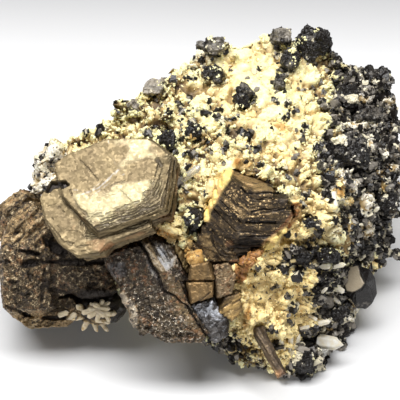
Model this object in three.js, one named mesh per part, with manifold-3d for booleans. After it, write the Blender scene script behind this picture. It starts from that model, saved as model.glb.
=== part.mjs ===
// A cabinet specimen of pyrrhotite on quartz, 132 mm wide: a broken block of quartz matrix covered in
// short quartz points, with bronze pyrrhotite crystals on its left and centre and black sphalerite
// crystals over the rest. The block lies on its broken underside, and its display face leans back.
//
// Every piece is modelled in the frame of the display face: u to the right, v up the face and w out
// of it, in millimetres from the middle of the face. The group at the end lays that face back.
import * as THREE from "three";
import { ConvexGeometry } from "three/addons/geometries/ConvexGeometry.js";
import { mergeVertices } from "three/addons/utils/BufferGeometryUtils.js";
import Module from "manifold-3d";

const wasm = await Module();
wasm.setup();

// Driving dimensions
const faceLean = 42; // degrees between the display face and level
const faceHeight = 42; // from the surface that the block rests on to the middle of its display face
const originRight = 3; // the origin stands this far to the right of the middle of the face
const originBehind = 8; // and this far behind it, in the middle of the resting face
const socketGap = 0.35; // between a crystal and the socket that it sits in
const blockDepth = 48; // from the rim of the display face to the deepest point behind it
const faceRise = 14; // from the middle of the face frame out to the crown of the block

const toRadians = THREE.MathUtils.degToRad;
const lean = toRadians(faceLean);
const axisY = new THREE.Vector3(0, 1, 0);

// Random numbers that are the same on every run
function seeded(seed) {
  let state = seed;
  return () => {
    state = (state + 0x6d2b79f5) | 0;
    let t = Math.imul(state ^ (state >>> 15), 1 | state);
    t = (t + Math.imul(t ^ (t >>> 7), 61 | t)) ^ t;
    return ((t ^ (t >>> 14)) >>> 0) / 4294967296;
  };
}

// The corners and triangles of a geometry, each corner once
function weldedMesh(geometry) {
  const bare = new THREE.BufferGeometry();
  const flat = geometry.index ? geometry.toNonIndexed() : geometry;
  bare.setAttribute("position", flat.getAttribute("position"));
  const merged = mergeVertices(bare, 1e-4);
  const triangles = [];
  for (let i = 0; i < merged.index.count; i += 3) {
    const [a, b, c] = [0, 1, 2].map((k) => merged.index.getX(i + k));
    if (a !== b && b !== c && c !== a) triangles.push(a, b, c);
  }
  return { corners: merged.getAttribute("position").array, triangles };
}

// A closed geometry as a solid that can be joined and cut
function solidOf(geometry) {
  const { corners, triangles } = weldedMesh(geometry);
  return new wasm.Manifold(
    new wasm.Mesh({ numProp: 3, vertProperties: corners, triVerts: new Uint32Array(triangles) }),
  );
}

function geometryOf(solid) {
  const mesh = solid.getMesh();
  return new THREE.BufferGeometry()
    .setAttribute("position", new THREE.BufferAttribute(new Float32Array(mesh.vertProperties), 3))
    .setIndex(new THREE.BufferAttribute(new Uint32Array(mesh.triVerts), 1))
    .toNonIndexed();
}

// A geometry turned by Euler angles in degrees, then moved to a place on the face
function placed(geometry, at, turn = [0, 0, 0]) {
  const spin = new THREE.Euler(...turn.map(toRadians));
  const quaternion = new THREE.Quaternion().setFromEuler(spin);
  return geometry.clone().applyQuaternion(quaternion).translate(...at);
}

// A geometry that stands along Y, turned to stand along a direction, then moved to its foot
function standing(geometry, foot, direction) {
  const turn = new THREE.Quaternion().setFromUnitVectors(axisY, direction);
  return geometry.clone().applyQuaternion(turn).translate(foot.x, foot.y, foot.z);
}

function joined(solids) {
  return solids.reduce((whole, next) => whole.add(next));
}

// The largest body of a solid, without the crumbs that a cut leaves
function mainBody(solid) {
  return solid.decompose().sort((a, b) => b.volume() - a.volume())[0];
}

// A solid with every face moved out by the gap: the socket that the solid sits in
function socketOf(solid) {
  const { corners, triangles } = weldedMesh(geometryOf(solid));
  const corner = (i) => new THREE.Vector3().fromArray(corners, 3 * i);
  const faces = Array.from({ length: corners.length / 3 }, () => []);
  for (let i = 0; i < triangles.length; i += 3) {
    const [a, b, c] = triangles.slice(i, i + 3);
    const normal = corner(b).sub(corner(a)).cross(corner(c).sub(corner(a)));
    if (normal.lengthSq() < 1e-12) continue;
    normal.normalize();
    for (const k of [a, b, c]) {
      if (!faces[k].some((known) => known.dot(normal) > 0.999)) faces[k].push(normal);
    }
  }
  const moved = new Float32Array(corners);
  faces.forEach((normals, i) => {
    const out = normals.reduce((sum, n) => sum.add(n), new THREE.Vector3());
    if (out.lengthSq() < 1e-6) return;
    out.normalize();
    const slope = Math.max(0.45, Math.min(...normals.map((n) => n.dot(out))));
    corner(i).addScaledVector(out, socketGap / slope).toArray(moved, 3 * i);
  });
  const mesh = new wasm.Mesh({ numProp: 3, vertProperties: moved, triVerts: new Uint32Array(triangles) });
  return new wasm.Manifold(mesh);
}

// A direction given as right, behind and above the resting block, in the frame of the face
function levelDirection(right, behind, above) {
  const v = behind * Math.cos(lean) + above * Math.sin(lean);
  const w = above * Math.cos(lean) - behind * Math.sin(lean);
  return new THREE.Vector3(right, v, w).normalize();
}

// A solid without what lies beyond a plane, at a distance from a point along a direction
function cutBeyond(solid, point, direction, distance) {
  const reach = 300;
  const box = new THREE.BoxGeometry(reach, reach, reach).translate(0, reach / 2, 0);
  const foot = point.clone().addScaledVector(direction, distance);
  return solid.subtract(solidOf(standing(box, foot, direction)));
}

// The block of matrix: the rim of its display face, the relief inside the rim, and its broken sides
const rim = [
  [61, 1.6, -14],
  [61.5, 15.7, -16],
  [61, 31.5, -20],
  [59.5, 38, -22],
  [52.3, 41, -24],
  [42.9, 46, -25],
  [36, 50.5, -26],
  [27, 51, -26],
  [17.5, 50.5, -26],
  [6.4, 49, -25],
  [-1.6, 46, -22],
  [-5.3, 40.1, -17],
  [-15.6, 36.5, -12],
  [-22.5, 30.5, -9],
  [-27.1, 24, -6],
  [-37, 21.5, -6],
  [-46, 15.5, -8],
  [-50, 9, -10],
  [-47, -6, -16],
  [-41, -20, -17],
  [-30, -28, -14],
  [-19, -33, -10],
  [-8, -39, -8],
  [3.1, -44.3, -5],
  [14.6, -51.6, -4],
  [27.5, -54, -5],
  [38.6, -51, -10],
  [46, -43, -17],
  [51.5, -34.7, -21],
  [57.8, -24.8, -25],
  [61, -18.5, -26],
  [61.5, -7.9, -20],
].map((point) => new THREE.Vector3(...point));
const faceCentre = new THREE.Vector3(5, 0, 0);
const blockCentre = new THREE.Vector3(4, 0, -22);
const brokenSides = [
  { direction: levelDirection(0.1, 0.97, -0.1), distance: 46 },
  { direction: levelDirection(-0.7, 0.7, -0.1), distance: 48 },
  { direction: levelDirection(0.75, 0.6, -0.15), distance: 59 },
  { direction: levelDirection(-0.75, -0.1, -0.65), distance: 44 },
  { direction: levelDirection(-0.55, -0.6, -0.58), distance: 42 },
  { direction: levelDirection(0.8, -0.1, -0.6), distance: 52 },
];

// Rim points by their angle about the middle of the face
const rimCurve = new THREE.CatmullRomCurve3(rim, true, "centripetal");
const rimByAngle = rimCurve
  .getPoints(360)
  .map((point) => ({ angle: Math.atan2(point.y - faceCentre.y, point.x - faceCentre.x), point }))
  .sort((a, b) => a.angle - b.angle);

function rimAt(angle) {
  const after = rimByAngle.findIndex((entry) => entry.angle > angle);
  const next = rimByAngle[after < 0 ? 0 : after];
  const last = rimByAngle[(after < 1 ? rimByAngle.length : after) - 1];
  const turn = (from, to) => (to - from + 4 * Math.PI) % (2 * Math.PI);
  const share = turn(last.angle, angle) / Math.max(1e-6, turn(last.angle, next.angle));
  return last.point.clone().lerp(next.point, Math.min(1, share));
}

// Height of the display face over its frame: it falls away upwards, to the right and to the left
function faceRelief(u, v) {
  const up = 0.75 * Math.max(0, v - 5);
  const down = 0.004 * Math.min(0, v - 5) ** 2;
  const right = 0.018 * Math.max(0, u - 25) ** 2;
  const left = 0.01 * Math.max(0, -u - 20) ** 2;
  return faceRise - up - down - right - left;
}

// Mounds and hollows about a centimetre across
function lumps({ x, y, z }) {
  const broad = 1.1 * Math.sin(0.31 * x + 1.1) * Math.sin(0.27 * y + 0.4);
  const slanted = 0.9 * Math.sin(0.52 * x - 0.33 * y + 2 * Math.sin(0.2 * z));
  return broad + slanted + 0.7 * Math.sin(0.61 * y + 0.45 * z + 0.7);
}

// The surface of the block in a direction from its middle
function blockPoint(direction) {
  const spread = Math.min(1, Math.hypot(direction.x, direction.y));
  const edge = rimAt(Math.atan2(direction.y, direction.x));
  const reach = spread ** (direction.z >= 0 ? 0.85 : 0.55);
  const point = faceCentre.clone().lerp(edge, reach);
  if (direction.z >= 0) {
    const share = reach ** 4;
    point.z = edge.z * share + faceRelief(point.x, point.y) * (1 - share);
  } else {
    point.z = edge.z - blockDepth * (-direction.z) ** 0.7;
  }
  return point.addScaledVector(direction, lumps(point));
}

// What stands above the surface that the block rests on
function aboveRest(solid) {
  return cutBeyond(solid, new THREE.Vector3(), levelDirection(0, 0, -1), faceHeight);
}

function blockSolid() {
  const geometry = new THREE.IcosahedronGeometry(1, 7);
  const position = geometry.getAttribute("position");
  for (let i = 0; i < position.count; i++) {
    const point = blockPoint(new THREE.Vector3().fromBufferAttribute(position, i).normalize());
    position.setXYZ(i, point.x, point.y, point.z);
  }
  const broken = brokenSides.reduce(
    (rest, { direction, distance }) => cutBeyond(rest, blockCentre, direction, distance),
    solidOf(geometry),
  );
  return aboveRest(broken);
}

// A hexagonal quartz crystal with a pointed end, standing along Y with its foot at 0
function quartzPoint(length, radius) {
  const profile = [
    [0, 0],
    [radius, 0],
    [radius * 0.9, length - 1.3 * radius],
    [0, length],
  ].map(([r, y]) => new THREE.Vector2(r, y));
  return new THREE.LatheGeometry(profile, 6);
}

// Circles on the face where no quartz points grow: pyrrhotite covers it, or its rim is broken off
const bareCircles = [
  { u: 10, v: -50, radius: 9 },
  { u: 50, v: -36, radius: 8 },
  { u: -26, v: 1, radius: 23 },
  { u: -44, v: -18, radius: 23 },
  { u: 15, v: -5, radius: 15 },
  { u: 3, v: -27, radius: 12 },
  { u: -13, v: -28, radius: 17 },
];

function isBare(point) {
  return bareCircles.some(({ u, v, radius }) => Math.hypot(point.x - u, point.y - v) < radius);
}

// Short quartz points all over the display face and round its rim, set out on a golden spiral
function quartzDruse() {
  const random = seeded(7);
  const goldenAngle = Math.PI * (3 - Math.sqrt(5));
  const count = 64;
  const lowest = -0.12; // how far round the rim they go, as the sine of an angle
  const rootDepth = 3;
  const crystals = [];
  for (let i = 0; i < count; i++) {
    const height = 1 - ((1 - lowest) * (i + 0.5)) / count;
    const spread = Math.sqrt(1 - height * height);
    const angle = i * goldenAngle;
    const out = new THREE.Vector3(spread * Math.cos(angle), spread * Math.sin(angle), height);
    const tilt = new THREE.Vector3(random() - 0.5, random() - 0.5, random() - 0.3);
    const length = 6 + 2.5 * random();
    const radius = 1.5 + 0.9 * random();
    const foot = blockPoint(out).addScaledVector(out, -rootDepth);
    if (isBare(foot)) continue;
    const direction = out.clone().addScaledVector(tilt, 1.1).normalize();
    crystals.push(solidOf(standing(quartzPoint(length, radius), foot, direction)));
  }
  return joined(crystals);
}

const block = blockSolid();
const blockMesh = new THREE.Mesh(geometryOf(block));
const intoFace = new THREE.Vector3(0, 0, -1);

// Where a line straight into the display face meets the block, or past the rim, where it last would
function surfaceUnder(u, v) {
  for (let share = 1; share > 0.7; share -= 0.02) {
    const origin = new THREE.Vector3(share * u, share * v, 100);
    const [hit] = new THREE.Raycaster(origin, intoFace).intersectObject(blockMesh);
    if (hit) return new THREE.Vector3(u, v, hit.point.z);
  }
  throw new Error(`no matrix under ${u}, ${v}`);
}

// A prism of an outline drawn on the face, with its front at 0 and its edges broken by a bevel
function plate(outline, thickness, bevel = 0.3) {
  const shape = new THREE.Shape(outline.map(([a, b]) => new THREE.Vector2(a, b)));
  const geometry = new THREE.ExtrudeGeometry(shape, {
    depth: thickness - 2 * bevel,
    bevelEnabled: bevel > 0,
    bevelThickness: bevel,
    bevelSize: bevel,
    bevelOffset: -bevel,
    bevelSegments: 1,
  });
  return geometry.translate(0, 0, bevel - thickness);
}

// The same outline, larger or smaller
function scaledOutline(outline, scale) {
  return outline.map(([a, b]) => [a * scale, b * scale]);
}

// The large rosette: a thick hexagonal crystal of stacked plates, its edges stepped, on a lower plate
function pyrrhotiteRosette() {
  const centre = [-25.5, 4, 20];
  const turn = [-20, -8, 0];
  const upper = [
    [-18.1, 8.3],
    [-12.4, 11.8],
    [-2.5, 15.2],
    [10.2, 14.8],
    [17.8, 8.2],
    [15.4, -7.6],
    [-4.6, -14],
    [-15.2, -2.4],
  ];
  const lower = [
    [-22.8, -1.1],
    [-19.9, 4.5],
    [-9.9, 11.4],
    [7.8, 8.3],
    [10.8, -12.1],
    [-2.2, -16.5],
    [-4.6, -19.3],
    [-11.1, -19.8],
    [-17, -15],
    [-21.1, -8.4],
  ];
  const layers = [
    { top: 0, thickness: 2, scale: 1 },
    { top: -1.6, thickness: 2, scale: 1.04 },
    { top: -3.2, thickness: 2.7, scale: 1.01 },
    { top: -5.5, thickness: 2.9, scale: 1.05 },
    { top: -8, thickness: 6, scale: 1.02 },
  ];
  const stack = layers.map(({ top, thickness, scale }) =>
    plate(scaledOutline(upper, scale), thickness, top > -3 ? 0.3 : 0).translate(0, 0, top),
  );
  const ledges = [
    plate(lower, 2.5).translate(0, 0, -3.5),
    plate(scaledOutline(lower, 0.96), 6, 0).translate(0.6, 0.4, -5.8),
  ];
  return [...stack, ...ledges].map((piece) => solidOf(placed(piece, centre, turn)));
}

// The bent bundle: plates that stand edge on, each folded along the same crease, on a common root
function pyrrhotiteFan() {
  const centre = [13.5, -3, 19];
  const turn = [18, 0, 0];
  const random = seeded(21);
  const step = 3.05;
  const rightArms = [7.5, 12.7, 15, 14.5, 12.7, 10.3, 7.4, 4.6];
  const pieces = rightArms.map((arm, k) => {
    const crease = [0.6 - 0.97 * k, 6.5 - step * k];
    const left = [crease[0] - 6.9 - 0.35 * k, crease[1] + 3.9];
    const right = [crease[0] + arm, crease[1] - 0.8 * random()];
    const below = [right, crease, left].map(([a, b]) => [a - 0.4, b - step - 0.5]);
    const height = 0.9 * random() - 0.06 * k * k;
    return plate([...below, left, crease, right], 7, 0).translate(0, 0, height);
  });
  const root = plate(
    [
      [-8.5, -16],
      [-4, -19],
      [8, -13],
      [14.5, -3],
      [7, 5],
      [-5, 9],
    ],
    10,
    0,
  ).translate(0, 0, -4);
  return [...pieces, root].map((piece) => solidOf(placed(piece, centre, turn)));
}

// The dark slab below the rosette, with a worn ledge on its front
function pyrrhotiteSlab() {
  const outline = [
    [-24.4, -12.8],
    [-14.9, -10.5],
    [-8.9, -13.4],
    [-4.5, -22.4],
    [3.6, -40.2],
    [0, -43.2],
    [-10.4, -43.2],
    [-16.4, -40.2],
    [-22.4, -29.8],
    [-28.3, -20.9],
    [-29.8, -14.9],
  ];
  const centre = [-13, -27];
  const local = outline.map(([u, v]) => [u - centre[0], v - centre[1]]);
  const body = plate(local, 16, 1.8);
  const ledge = plate(scaledOutline(local, 0.82), 3, 0).translate(-0.6, 0.8, 1.4);
  const ridge = plate(
    [
      [-11, 1],
      [-8.5, 2],
      [-2.5, -13],
      [-5, -14],
    ],
    5,
    0,
  ).translate(0, 0, 1.8);
  return [body, ledge, ridge].map((piece) => solidOf(placed(piece, [...centre, 11], [8, -6, 0])));
}

// A rough lump: a ball pressed towards the shape of a box, its surface pushed in and out
function lump(centre, size, seed, roughness) {
  const geometry = new THREE.IcosahedronGeometry(1, 2);
  const position = geometry.getAttribute("position");
  const shift = 3 * seeded(seed)();
  for (let i = 0; i < position.count; i++) {
    const p = new THREE.Vector3().fromBufferAttribute(position, i).normalize();
    const broad = Math.sin(4.3 * p.x + shift) * Math.sin(5.1 * p.y + 2 * shift);
    const wave = broad + 0.6 * Math.sin(9 * p.z + 7 * p.x);
    const boxed = 1 / Math.max(Math.abs(p.x), Math.abs(p.y), Math.abs(p.z)) ** 0.45;
    p.multiplyScalar(boxed * (1 + roughness * wave));
    position.setXYZ(i, p.x * size[0], p.y * size[1], p.z * size[2]);
  }
  return solidOf(placed(geometry, centre));
}

// The mass at the left: a stack of steep plates above, a rough lump below, and ledges under both
function pyrrhotiteLeftMass() {
  const random = seeded(5);
  const plates = [];
  const stackAxis = new THREE.Vector3(0.62, -0.6, 0.5).normalize();
  for (let k = 0; k < 5; k++) {
    const radius = 9.2 - 0.3 * (k - 2) ** 2 + random();
    const outline = [];
    for (let side = 0; side < 7; side++) {
      const angle = (side * 2 * Math.PI) / 7 + 0.3 * random();
      const reach = radius * (0.88 + 0.24 * random());
      outline.push([1.15 * reach * Math.cos(angle), reach * Math.sin(angle)]);
    }
    const middle = new THREE.Vector3(-50.5, -10.8, -6).addScaledVector(stackAxis, 3.3 * (k - 2));
    const flat = plate(outline, 4, 0).rotateX(-Math.PI / 2);
    plates.push(solidOf(standing(flat, middle, stackAxis)));
  }
  const lower = lump([-52.5, -22, -7], [9.5, 14, 12], 11, 0.05);
  const middle = lump([-37, -20, -9], [13, 10, 12], 13, 0.07);
  const ledges = [
    plate(
      [
        [-60, -33.5],
        [-51, -31],
        [-40, -30],
        [-36, -34],
        [-41, -39],
        [-53, -39.5],
      ],
      7,
      0,
    ).translate(0, 0, -6),
    plate(
      [
        [-61, -8],
        [-55, -4],
        [-36, -8],
        [-33, -28],
        [-44, -31],
        [-60, -27],
      ],
      6,
      0,
    ).translate(0, 0, -14),
  ].map(solidOf);
  return [...plates, lower, middle, ...ledges];
}

// Blocks of pyrrhotite between the slab and the bent bundle
const blocks = [
  {
    name: "pyrrhotite_block_upper",
    outline: [
      [-3, -19.3],
      [2.4, -18.4],
      [4.2, -23.8],
      [-3.8, -24.2],
    ],
    front: 15.5,
    turn: [6, -6, 0],
  },
  {
    name: "pyrrhotite_block_lower",
    outline: [
      [-3.9, -24.4],
      [4.2, -24],
      [4, -28.8],
      [-2.6, -30.9],
    ],
    front: 15,
    turn: [-4, 4, 0],
  },
  {
    name: "pyrrhotite_block_rough",
    outline: [
      [4.2, -19.6],
      [8.5, -18.8],
      [10.8, -22.5],
      [10, -28],
      [5.2, -29.4],
      [4.4, -24],
    ],
    front: 13.5,
    turn: [4, 6, 0],
  },
  {
    name: "pyrrhotite_block_gold",
    outline: [
      [7.2, -29],
      [12.2, -27.6],
      [13, -33],
      [9.6, -36.4],
      [6.2, -33.8],
    ],
    front: 12.5,
    turn: [10, 12, 0],
  },
  {
    name: "pyrrhotite_crust",
    outline: [
      [-3.2, -31.5],
      [3.6, -30.2],
      [8, -35],
      [8.6, -41],
      [4.4, -43.6],
      [1, -39],
    ],
    front: 10,
    turn: [14, 0, 0],
  },
];

function pyrrhotiteBlock({ outline, front, turn }) {
  const u = outline.reduce((sum, point) => sum + point[0], 0) / outline.length;
  const v = outline.reduce((sum, point) => sum + point[1], 0) / outline.length;
  const local = outline.map((point) => [point[0] - u, point[1] - v]);
  return [solidOf(placed(plate(local, 12, 0.5), [u, v, front], turn))];
}

// A bundle of upright rods between the rosette and the blocks
function pyrrhotiteRods() {
  const random = seeded(31);
  const rods = [];
  for (let k = 0; k < 4; k++) {
    const foot = new THREE.Vector3(-2.8 - 2.5 * k, -24.5 + 1.2 * k, 6.5 - 0.3 * k);
    const direction = new THREE.Vector3(-0.42 + 0.05 * random(), 0.9, 0.32).normalize();
    const length = 12.5 + 1.5 * random();
    const rod = new THREE.CylinderGeometry(1.5, 1.75, length, 6).translate(0, length / 2, 0);
    rods.push(solidOf(standing(rod, foot, direction)));
  }
  return rods;
}

// The brown blade that lies down the lower edge
function pyrrhotiteBlade() {
  const blade = new THREE.CylinderGeometry(2.2, 1.8, 17, 6).scale(1, 1, 0.7);
  return [solidOf(placed(blade, [21, -45.8, 6], [-24, 0, 26]))];
}

// A sphalerite crystal one unit in radius: a tetrahedron with its corners cut off by its opposite
function wedgeCrystal() {
  const body = new THREE.TetrahedronGeometry(1.75);
  const opposite = new THREE.TetrahedronGeometry(3.3).rotateZ(Math.PI / 2);
  return geometryOf(solidOf(body).intersect(solidOf(opposite)));
}

// A blocky one: an octahedron with its corners cut off by a box
function blockCrystal() {
  const body = new THREE.OctahedronGeometry(1.35);
  const box = new THREE.BoxGeometry(1.7, 1.76, 1.6);
  return geometryOf(solidOf(body).intersect(solidOf(box)));
}

// The corners of the largest sphalerite crystal from its middle: its broad face first, then its sides
const largeCrystal = [
  [-4, 6.5, 2.2],
  [-0.6, 7.2, 4],
  [1.2, 1.6, 5.7],
  [-1.9, -1.2, 4.3],
  [-5, -0.3, 2.5],
  [-5.3, 2.8, 2],
  [3.1, 5.9, 2],
  [4.7, 3.1, 1.2],
  [5.3, -1.6, 0.5],
  [4, -4.7, 0.3],
  [1.9, -6.5, 0],
  [-0.9, -6.5, 0.5],
  [-3.1, -3.1, 2],
  [-3, 4, -6],
  [3, 3, -6],
  [3, -4, -6],
  [-2, -4, -6],
];

// Every larger sphalerite crystal: its place on the face and its corners, or its half sizes and its
// turn in degrees
const sphalerites = [
  { u: 49.8, v: -27.4, corners: largeCrystal, lift: 2.4 },
  { u: 43, v: -34.9, size: [3.6, 3.2, 4], turn: [30, 12, 20], lift: 1.6 },
  { u: 52, v: 26, size: [5.6, 3.4, 4.4], turn: [20, 0, -14], lift: 1.6 },
  { u: 44.5, v: 14.9, size: [8.4, 4.8, 6], turn: [32, 6, 4], lift: 1.4 },
  { u: 56.5, v: 38.8, size: [6.2, 4.2, 6], turn: [10, 10, -30], lift: 1.4 },
  { u: 36, v: 49.8, size: [6.2, 4.8, 6], turn: [24, 20, -12], lift: 1.6 },
  { u: 25, v: 51.5, size: [4.6, 3.4, 4.4], turn: [12, -12, 16], lift: 1.2 },
  { u: 28, v: 43, size: [2.8, 4.6, 3.6], turn: [20, 0, -30], lift: 1.6 },
  { u: 25.2, v: 36.6, size: [2.6, 4.2, 3.4], turn: [14, 0, -8], lift: 1.4 },
  { u: 14, v: 32.5, size: [2.9, 4.6, 3.4], turn: [0, 10, 12], lift: 1.4 },
  { u: 4.3, v: 39.5, size: [4.6, 3.2, 3.6], turn: [8, 0, -8], lift: 1.4 },
  { u: 4.2, v: 49.4, size: [4.8, 3.2, 4.4], turn: [30, 0, 30], lift: 1.6 },
  { u: -20.4, v: 28.4, size: [2.6, 4.6, 3.4], turn: [6, -8, -6], lift: 1.8 },
  { u: -13.8, v: 35.6, size: [4.8, 2.8, 3.8], turn: [12, 0, 8], lift: 1.8 },
  { u: -9.4, v: 18.1, size: [3.5, 3.5, 3.5], turn: [24, 18, 8], lift: 1.4 },
  { u: -1.8, v: 20.6, size: [3.6, 2.6, 3], turn: [4, 30, 16], lift: 1.2 },
  { u: -1.2, v: -5, size: [3.2, 4.4, 3.4], turn: [12, 20, 30], lift: 1.2 },
  { u: 58.4, v: 0.2, size: [3.6, 3.8, 3.8], turn: [20, 40, 10], lift: 1.2 },
  { u: 38.8, v: -16.6, size: [4.2, 2.8, 3.2], turn: [8, 20, 0], lift: 1.1 },
  { u: 30.5, v: -16.5, size: [3.8, 3.4, 3.4], turn: [16, 8, 30], lift: 1.4 },
  { u: 33.2, v: -6.9, size: [3.4, 2, 2.8], turn: [10, 10, 6], lift: 1 },
  { u: 30.5, v: -49.5, size: [5.6, 4.4, 4.6], turn: [30, 20, 0], lift: 1.4 },
  { u: 44.6, v: -40.4, size: [3.2, 3.4, 3.4], turn: [12, 34, 20], lift: 1.4 },
  { u: 46.5, v: 33, size: [3.8, 4, 3.8], turn: [30, 0, 24], lift: 1.3 },
];

function sphaleriteCrystal({ u, v, corners, size, turn, lift }, index) {
  const { z } = surfaceUnder(u, v);
  const at = [u, v, z + lift];
  if (corners) {
    const points = corners.map((corner) => new THREE.Vector3(...corner));
    return [solidOf(placed(new ConvexGeometry(points), at))];
  }
  const shape = index % 4 === 0 ? blockCrystal() : wedgeCrystal();
  return [solidOf(placed(shape.scale(...size), at, turn))];
}

// The crystals of the quartz spray: foot and tip of each on the face, and its radius
const sprayRoot = [-31, -33.4, -11.5];
const sprayArms = [
  { foot: [-34, -35.5, -6.5], tip: [-25.3, -34.9, -5], radius: 1 },
  { foot: [-33.4, -36.5, -7], tip: [-27.2, -38, -6], radius: 0.9 },
  { foot: [-33.7, -34.6, -7], tip: [-33.4, -31.2, -3], radius: 0.8 },
  { foot: [-35.2, -34.6, -7.5], tip: [-38.3, -32.1, -4.5], radius: 1.1 },
  { foot: [-35.9, -35.9, -8], tip: [-40, -36.8, -5.5], radius: 1 },
  { foot: [-34.6, -37.1, -8.5], tip: [-36.4, -40.4, -7], radius: 1 },
  { foot: [-33.1, -37.3, -8.5], tip: [-31.5, -41.1, -7.5], radius: 0.9 },
  { foot: [-31.5, -36.8, -8.5], tip: [-28.2, -41, -8], radius: 0.9 },
];

// The quartz spray under the left mass: crystals that point every way from one root
function quartzSpray() {
  const root = new THREE.IcosahedronGeometry(7.6, 1).scale(1.05, 0.66, 0.85);
  const crystals = [solidOf(placed(root, sprayRoot))];
  for (const { foot, tip, radius } of sprayArms) {
    const from = new THREE.Vector3(...foot);
    const direction = new THREE.Vector3(...tip).sub(from);
    const length = direction.length();
    crystals.push(solidOf(standing(quartzPoint(length, radius), from, direction.normalize())));
  }
  return crystals;
}

// Clear quartz crystals that stand on their own at the lower right and beside the fan
const clearPoints = [
  { u: 36.8, v: -43.6, length: 8.5, radius: 2.4, direction: [0.9, -0.12, 0.45] },
  { u: 35.2, v: -48.6, length: 6.5, radius: 1.8, direction: [0.7, 0.45, 0.55] },
  { u: 42.6, v: -25, length: 6.5, radius: 1.5, direction: [-0.85, 0.1, 0.55] },
  { u: -6.2, v: 5.4, length: 9, radius: 1.3, direction: [0.78, 0.58, 0.4] },
];

function clearPoint({ u, v, length, radius, direction }) {
  const foot = surfaceUnder(u, v).addScaledVector(new THREE.Vector3(0, 0, 1), -1.5);
  return [solidOf(standing(quartzPoint(length, radius), foot, new THREE.Vector3(...direction).normalize()))];
}

// Materials
const bronze = new THREE.MeshStandardMaterial({ color: 0x9c7c4a, roughness: 0.42, metalness: 0.75 });
const darkBronze = new THREE.MeshStandardMaterial({ color: 0x5f4a30, roughness: 0.5, metalness: 0.6 });
const black = new THREE.MeshStandardMaterial({ color: 0x1d1b1a, roughness: 0.22, metalness: 0.1 });
const cream = new THREE.MeshStandardMaterial({ color: 0xe6d9b4, roughness: 0.65, metalness: 0 });
const clear = new THREE.MeshStandardMaterial({ color: 0xd9cfb8, roughness: 0.2, metalness: 0 });

// Every piece in the order in which it keeps its whole shape: a later one gives way to those before
const grown = [
  { name: "pyrrhotite_rosette", parts: pyrrhotiteRosette(), material: bronze },
  { name: "pyrrhotite_fan", parts: pyrrhotiteFan(), material: bronze },
  ...blocks.map((entry) => ({ name: entry.name, parts: pyrrhotiteBlock(entry), material: bronze })),
  { name: "pyrrhotite_slab", parts: pyrrhotiteSlab(), material: darkBronze },
  { name: "pyrrhotite_rods", parts: pyrrhotiteRods(), material: bronze },
  { name: "pyrrhotite_blade", parts: pyrrhotiteBlade(), material: darkBronze },
  { name: "pyrrhotite_left_mass", parts: pyrrhotiteLeftMass(), material: darkBronze },
  ...sphalerites.map((entry, index) => ({
    name: `sphalerite_crystal_${index + 1}`,
    parts: sphaleriteCrystal(entry, index),
    material: black,
  })),
  ...clearPoints.map((entry, index) => ({
    name: `quartz_crystal_${index + 1}`,
    parts: clearPoint(entry),
    material: clear,
  })),
  { name: "quartz_spray", parts: quartzSpray(), material: cream },
  { name: "quartz_matrix", parts: [aboveRest(block.add(quartzDruse()))], material: cream },
];

const specimen = new THREE.Group();
specimen.rotation.x = lean;
specimen.position.set(-originRight, -originBehind, faceHeight);
let sockets = null;
for (const { name, parts, material } of grown) {
  const whole = joined(parts);
  const piece = sockets ? mainBody(whole.subtract(sockets)) : whole;
  const mesh = new THREE.Mesh(geometryOf(piece), material);
  mesh.name = name;
  specimen.add(mesh);
  const socket = joined(parts.map(socketOf));
  sockets = sockets ? sockets.add(socket) : socket;
}

export default specimen;
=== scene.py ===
"""Looks of a mineral specimen: pyrrhotite and sphalerite on a quartz matrix.

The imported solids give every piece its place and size. This script gives them their surfaces: the
druse of small quartz crystals, the terraces and laminae of the pyrrhotite, and the black crystals.
Lengths are in millimetres until a mesh is made, in the frame of the display face: u to the right,
v up the face and w out of it.
"""

import math

import bmesh
import bpy
import numpy as np
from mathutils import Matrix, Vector
from mathutils.bvhtree import BVHTree


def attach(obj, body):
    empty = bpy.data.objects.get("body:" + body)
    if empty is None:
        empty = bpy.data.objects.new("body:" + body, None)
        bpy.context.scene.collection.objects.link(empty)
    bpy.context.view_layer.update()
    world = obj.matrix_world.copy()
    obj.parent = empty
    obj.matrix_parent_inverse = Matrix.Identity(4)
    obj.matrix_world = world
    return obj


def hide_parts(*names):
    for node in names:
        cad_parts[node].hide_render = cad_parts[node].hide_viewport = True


bl_info = {
    "name": "Pyrrhotite on Quartz",
    "version": (1, 0, 0),
    "blender": (4, 5, 0),
    "location": "3D View > Sidebar > Specimen",
    "description": "Surfaces and finishes of a pyrrhotite, sphalerite and quartz specimen",
    "category": "Add Mesh",
}

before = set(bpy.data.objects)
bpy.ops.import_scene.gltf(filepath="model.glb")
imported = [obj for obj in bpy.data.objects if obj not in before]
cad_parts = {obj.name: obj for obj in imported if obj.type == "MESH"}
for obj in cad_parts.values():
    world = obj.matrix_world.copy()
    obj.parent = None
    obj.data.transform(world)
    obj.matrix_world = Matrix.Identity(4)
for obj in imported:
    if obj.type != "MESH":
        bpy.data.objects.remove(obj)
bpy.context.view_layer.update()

MM = 0.001

# The display face in the frame of the part, and the photograph's view straight onto it
FACE_LEAN = math.radians(42)
FACE_ORIGIN = np.array([-3.0, -8.0, 42.0])
VIEW_DISTANCE = 600.0
PIXEL = 0.305
IMAGE_SIZE = 400

TO_WORLD = np.array(
    [
        [1, 0, 0],
        [0, math.cos(FACE_LEAN), -math.sin(FACE_LEAN)],
        [0, math.sin(FACE_LEAN), math.cos(FACE_LEAN)],
    ]
)


def to_world(points):
    """Points of the display face's frame in millimetres, as metres in the frame of the part"""
    return (np.asarray(points) @ TO_WORLD.T + FACE_ORIGIN) * MM


def to_face(points):
    """Points in metres in the frame of the part, as millimetres in the display face's frame"""
    return (np.asarray(points) / MM - FACE_ORIGIN) @ TO_WORLD


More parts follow.
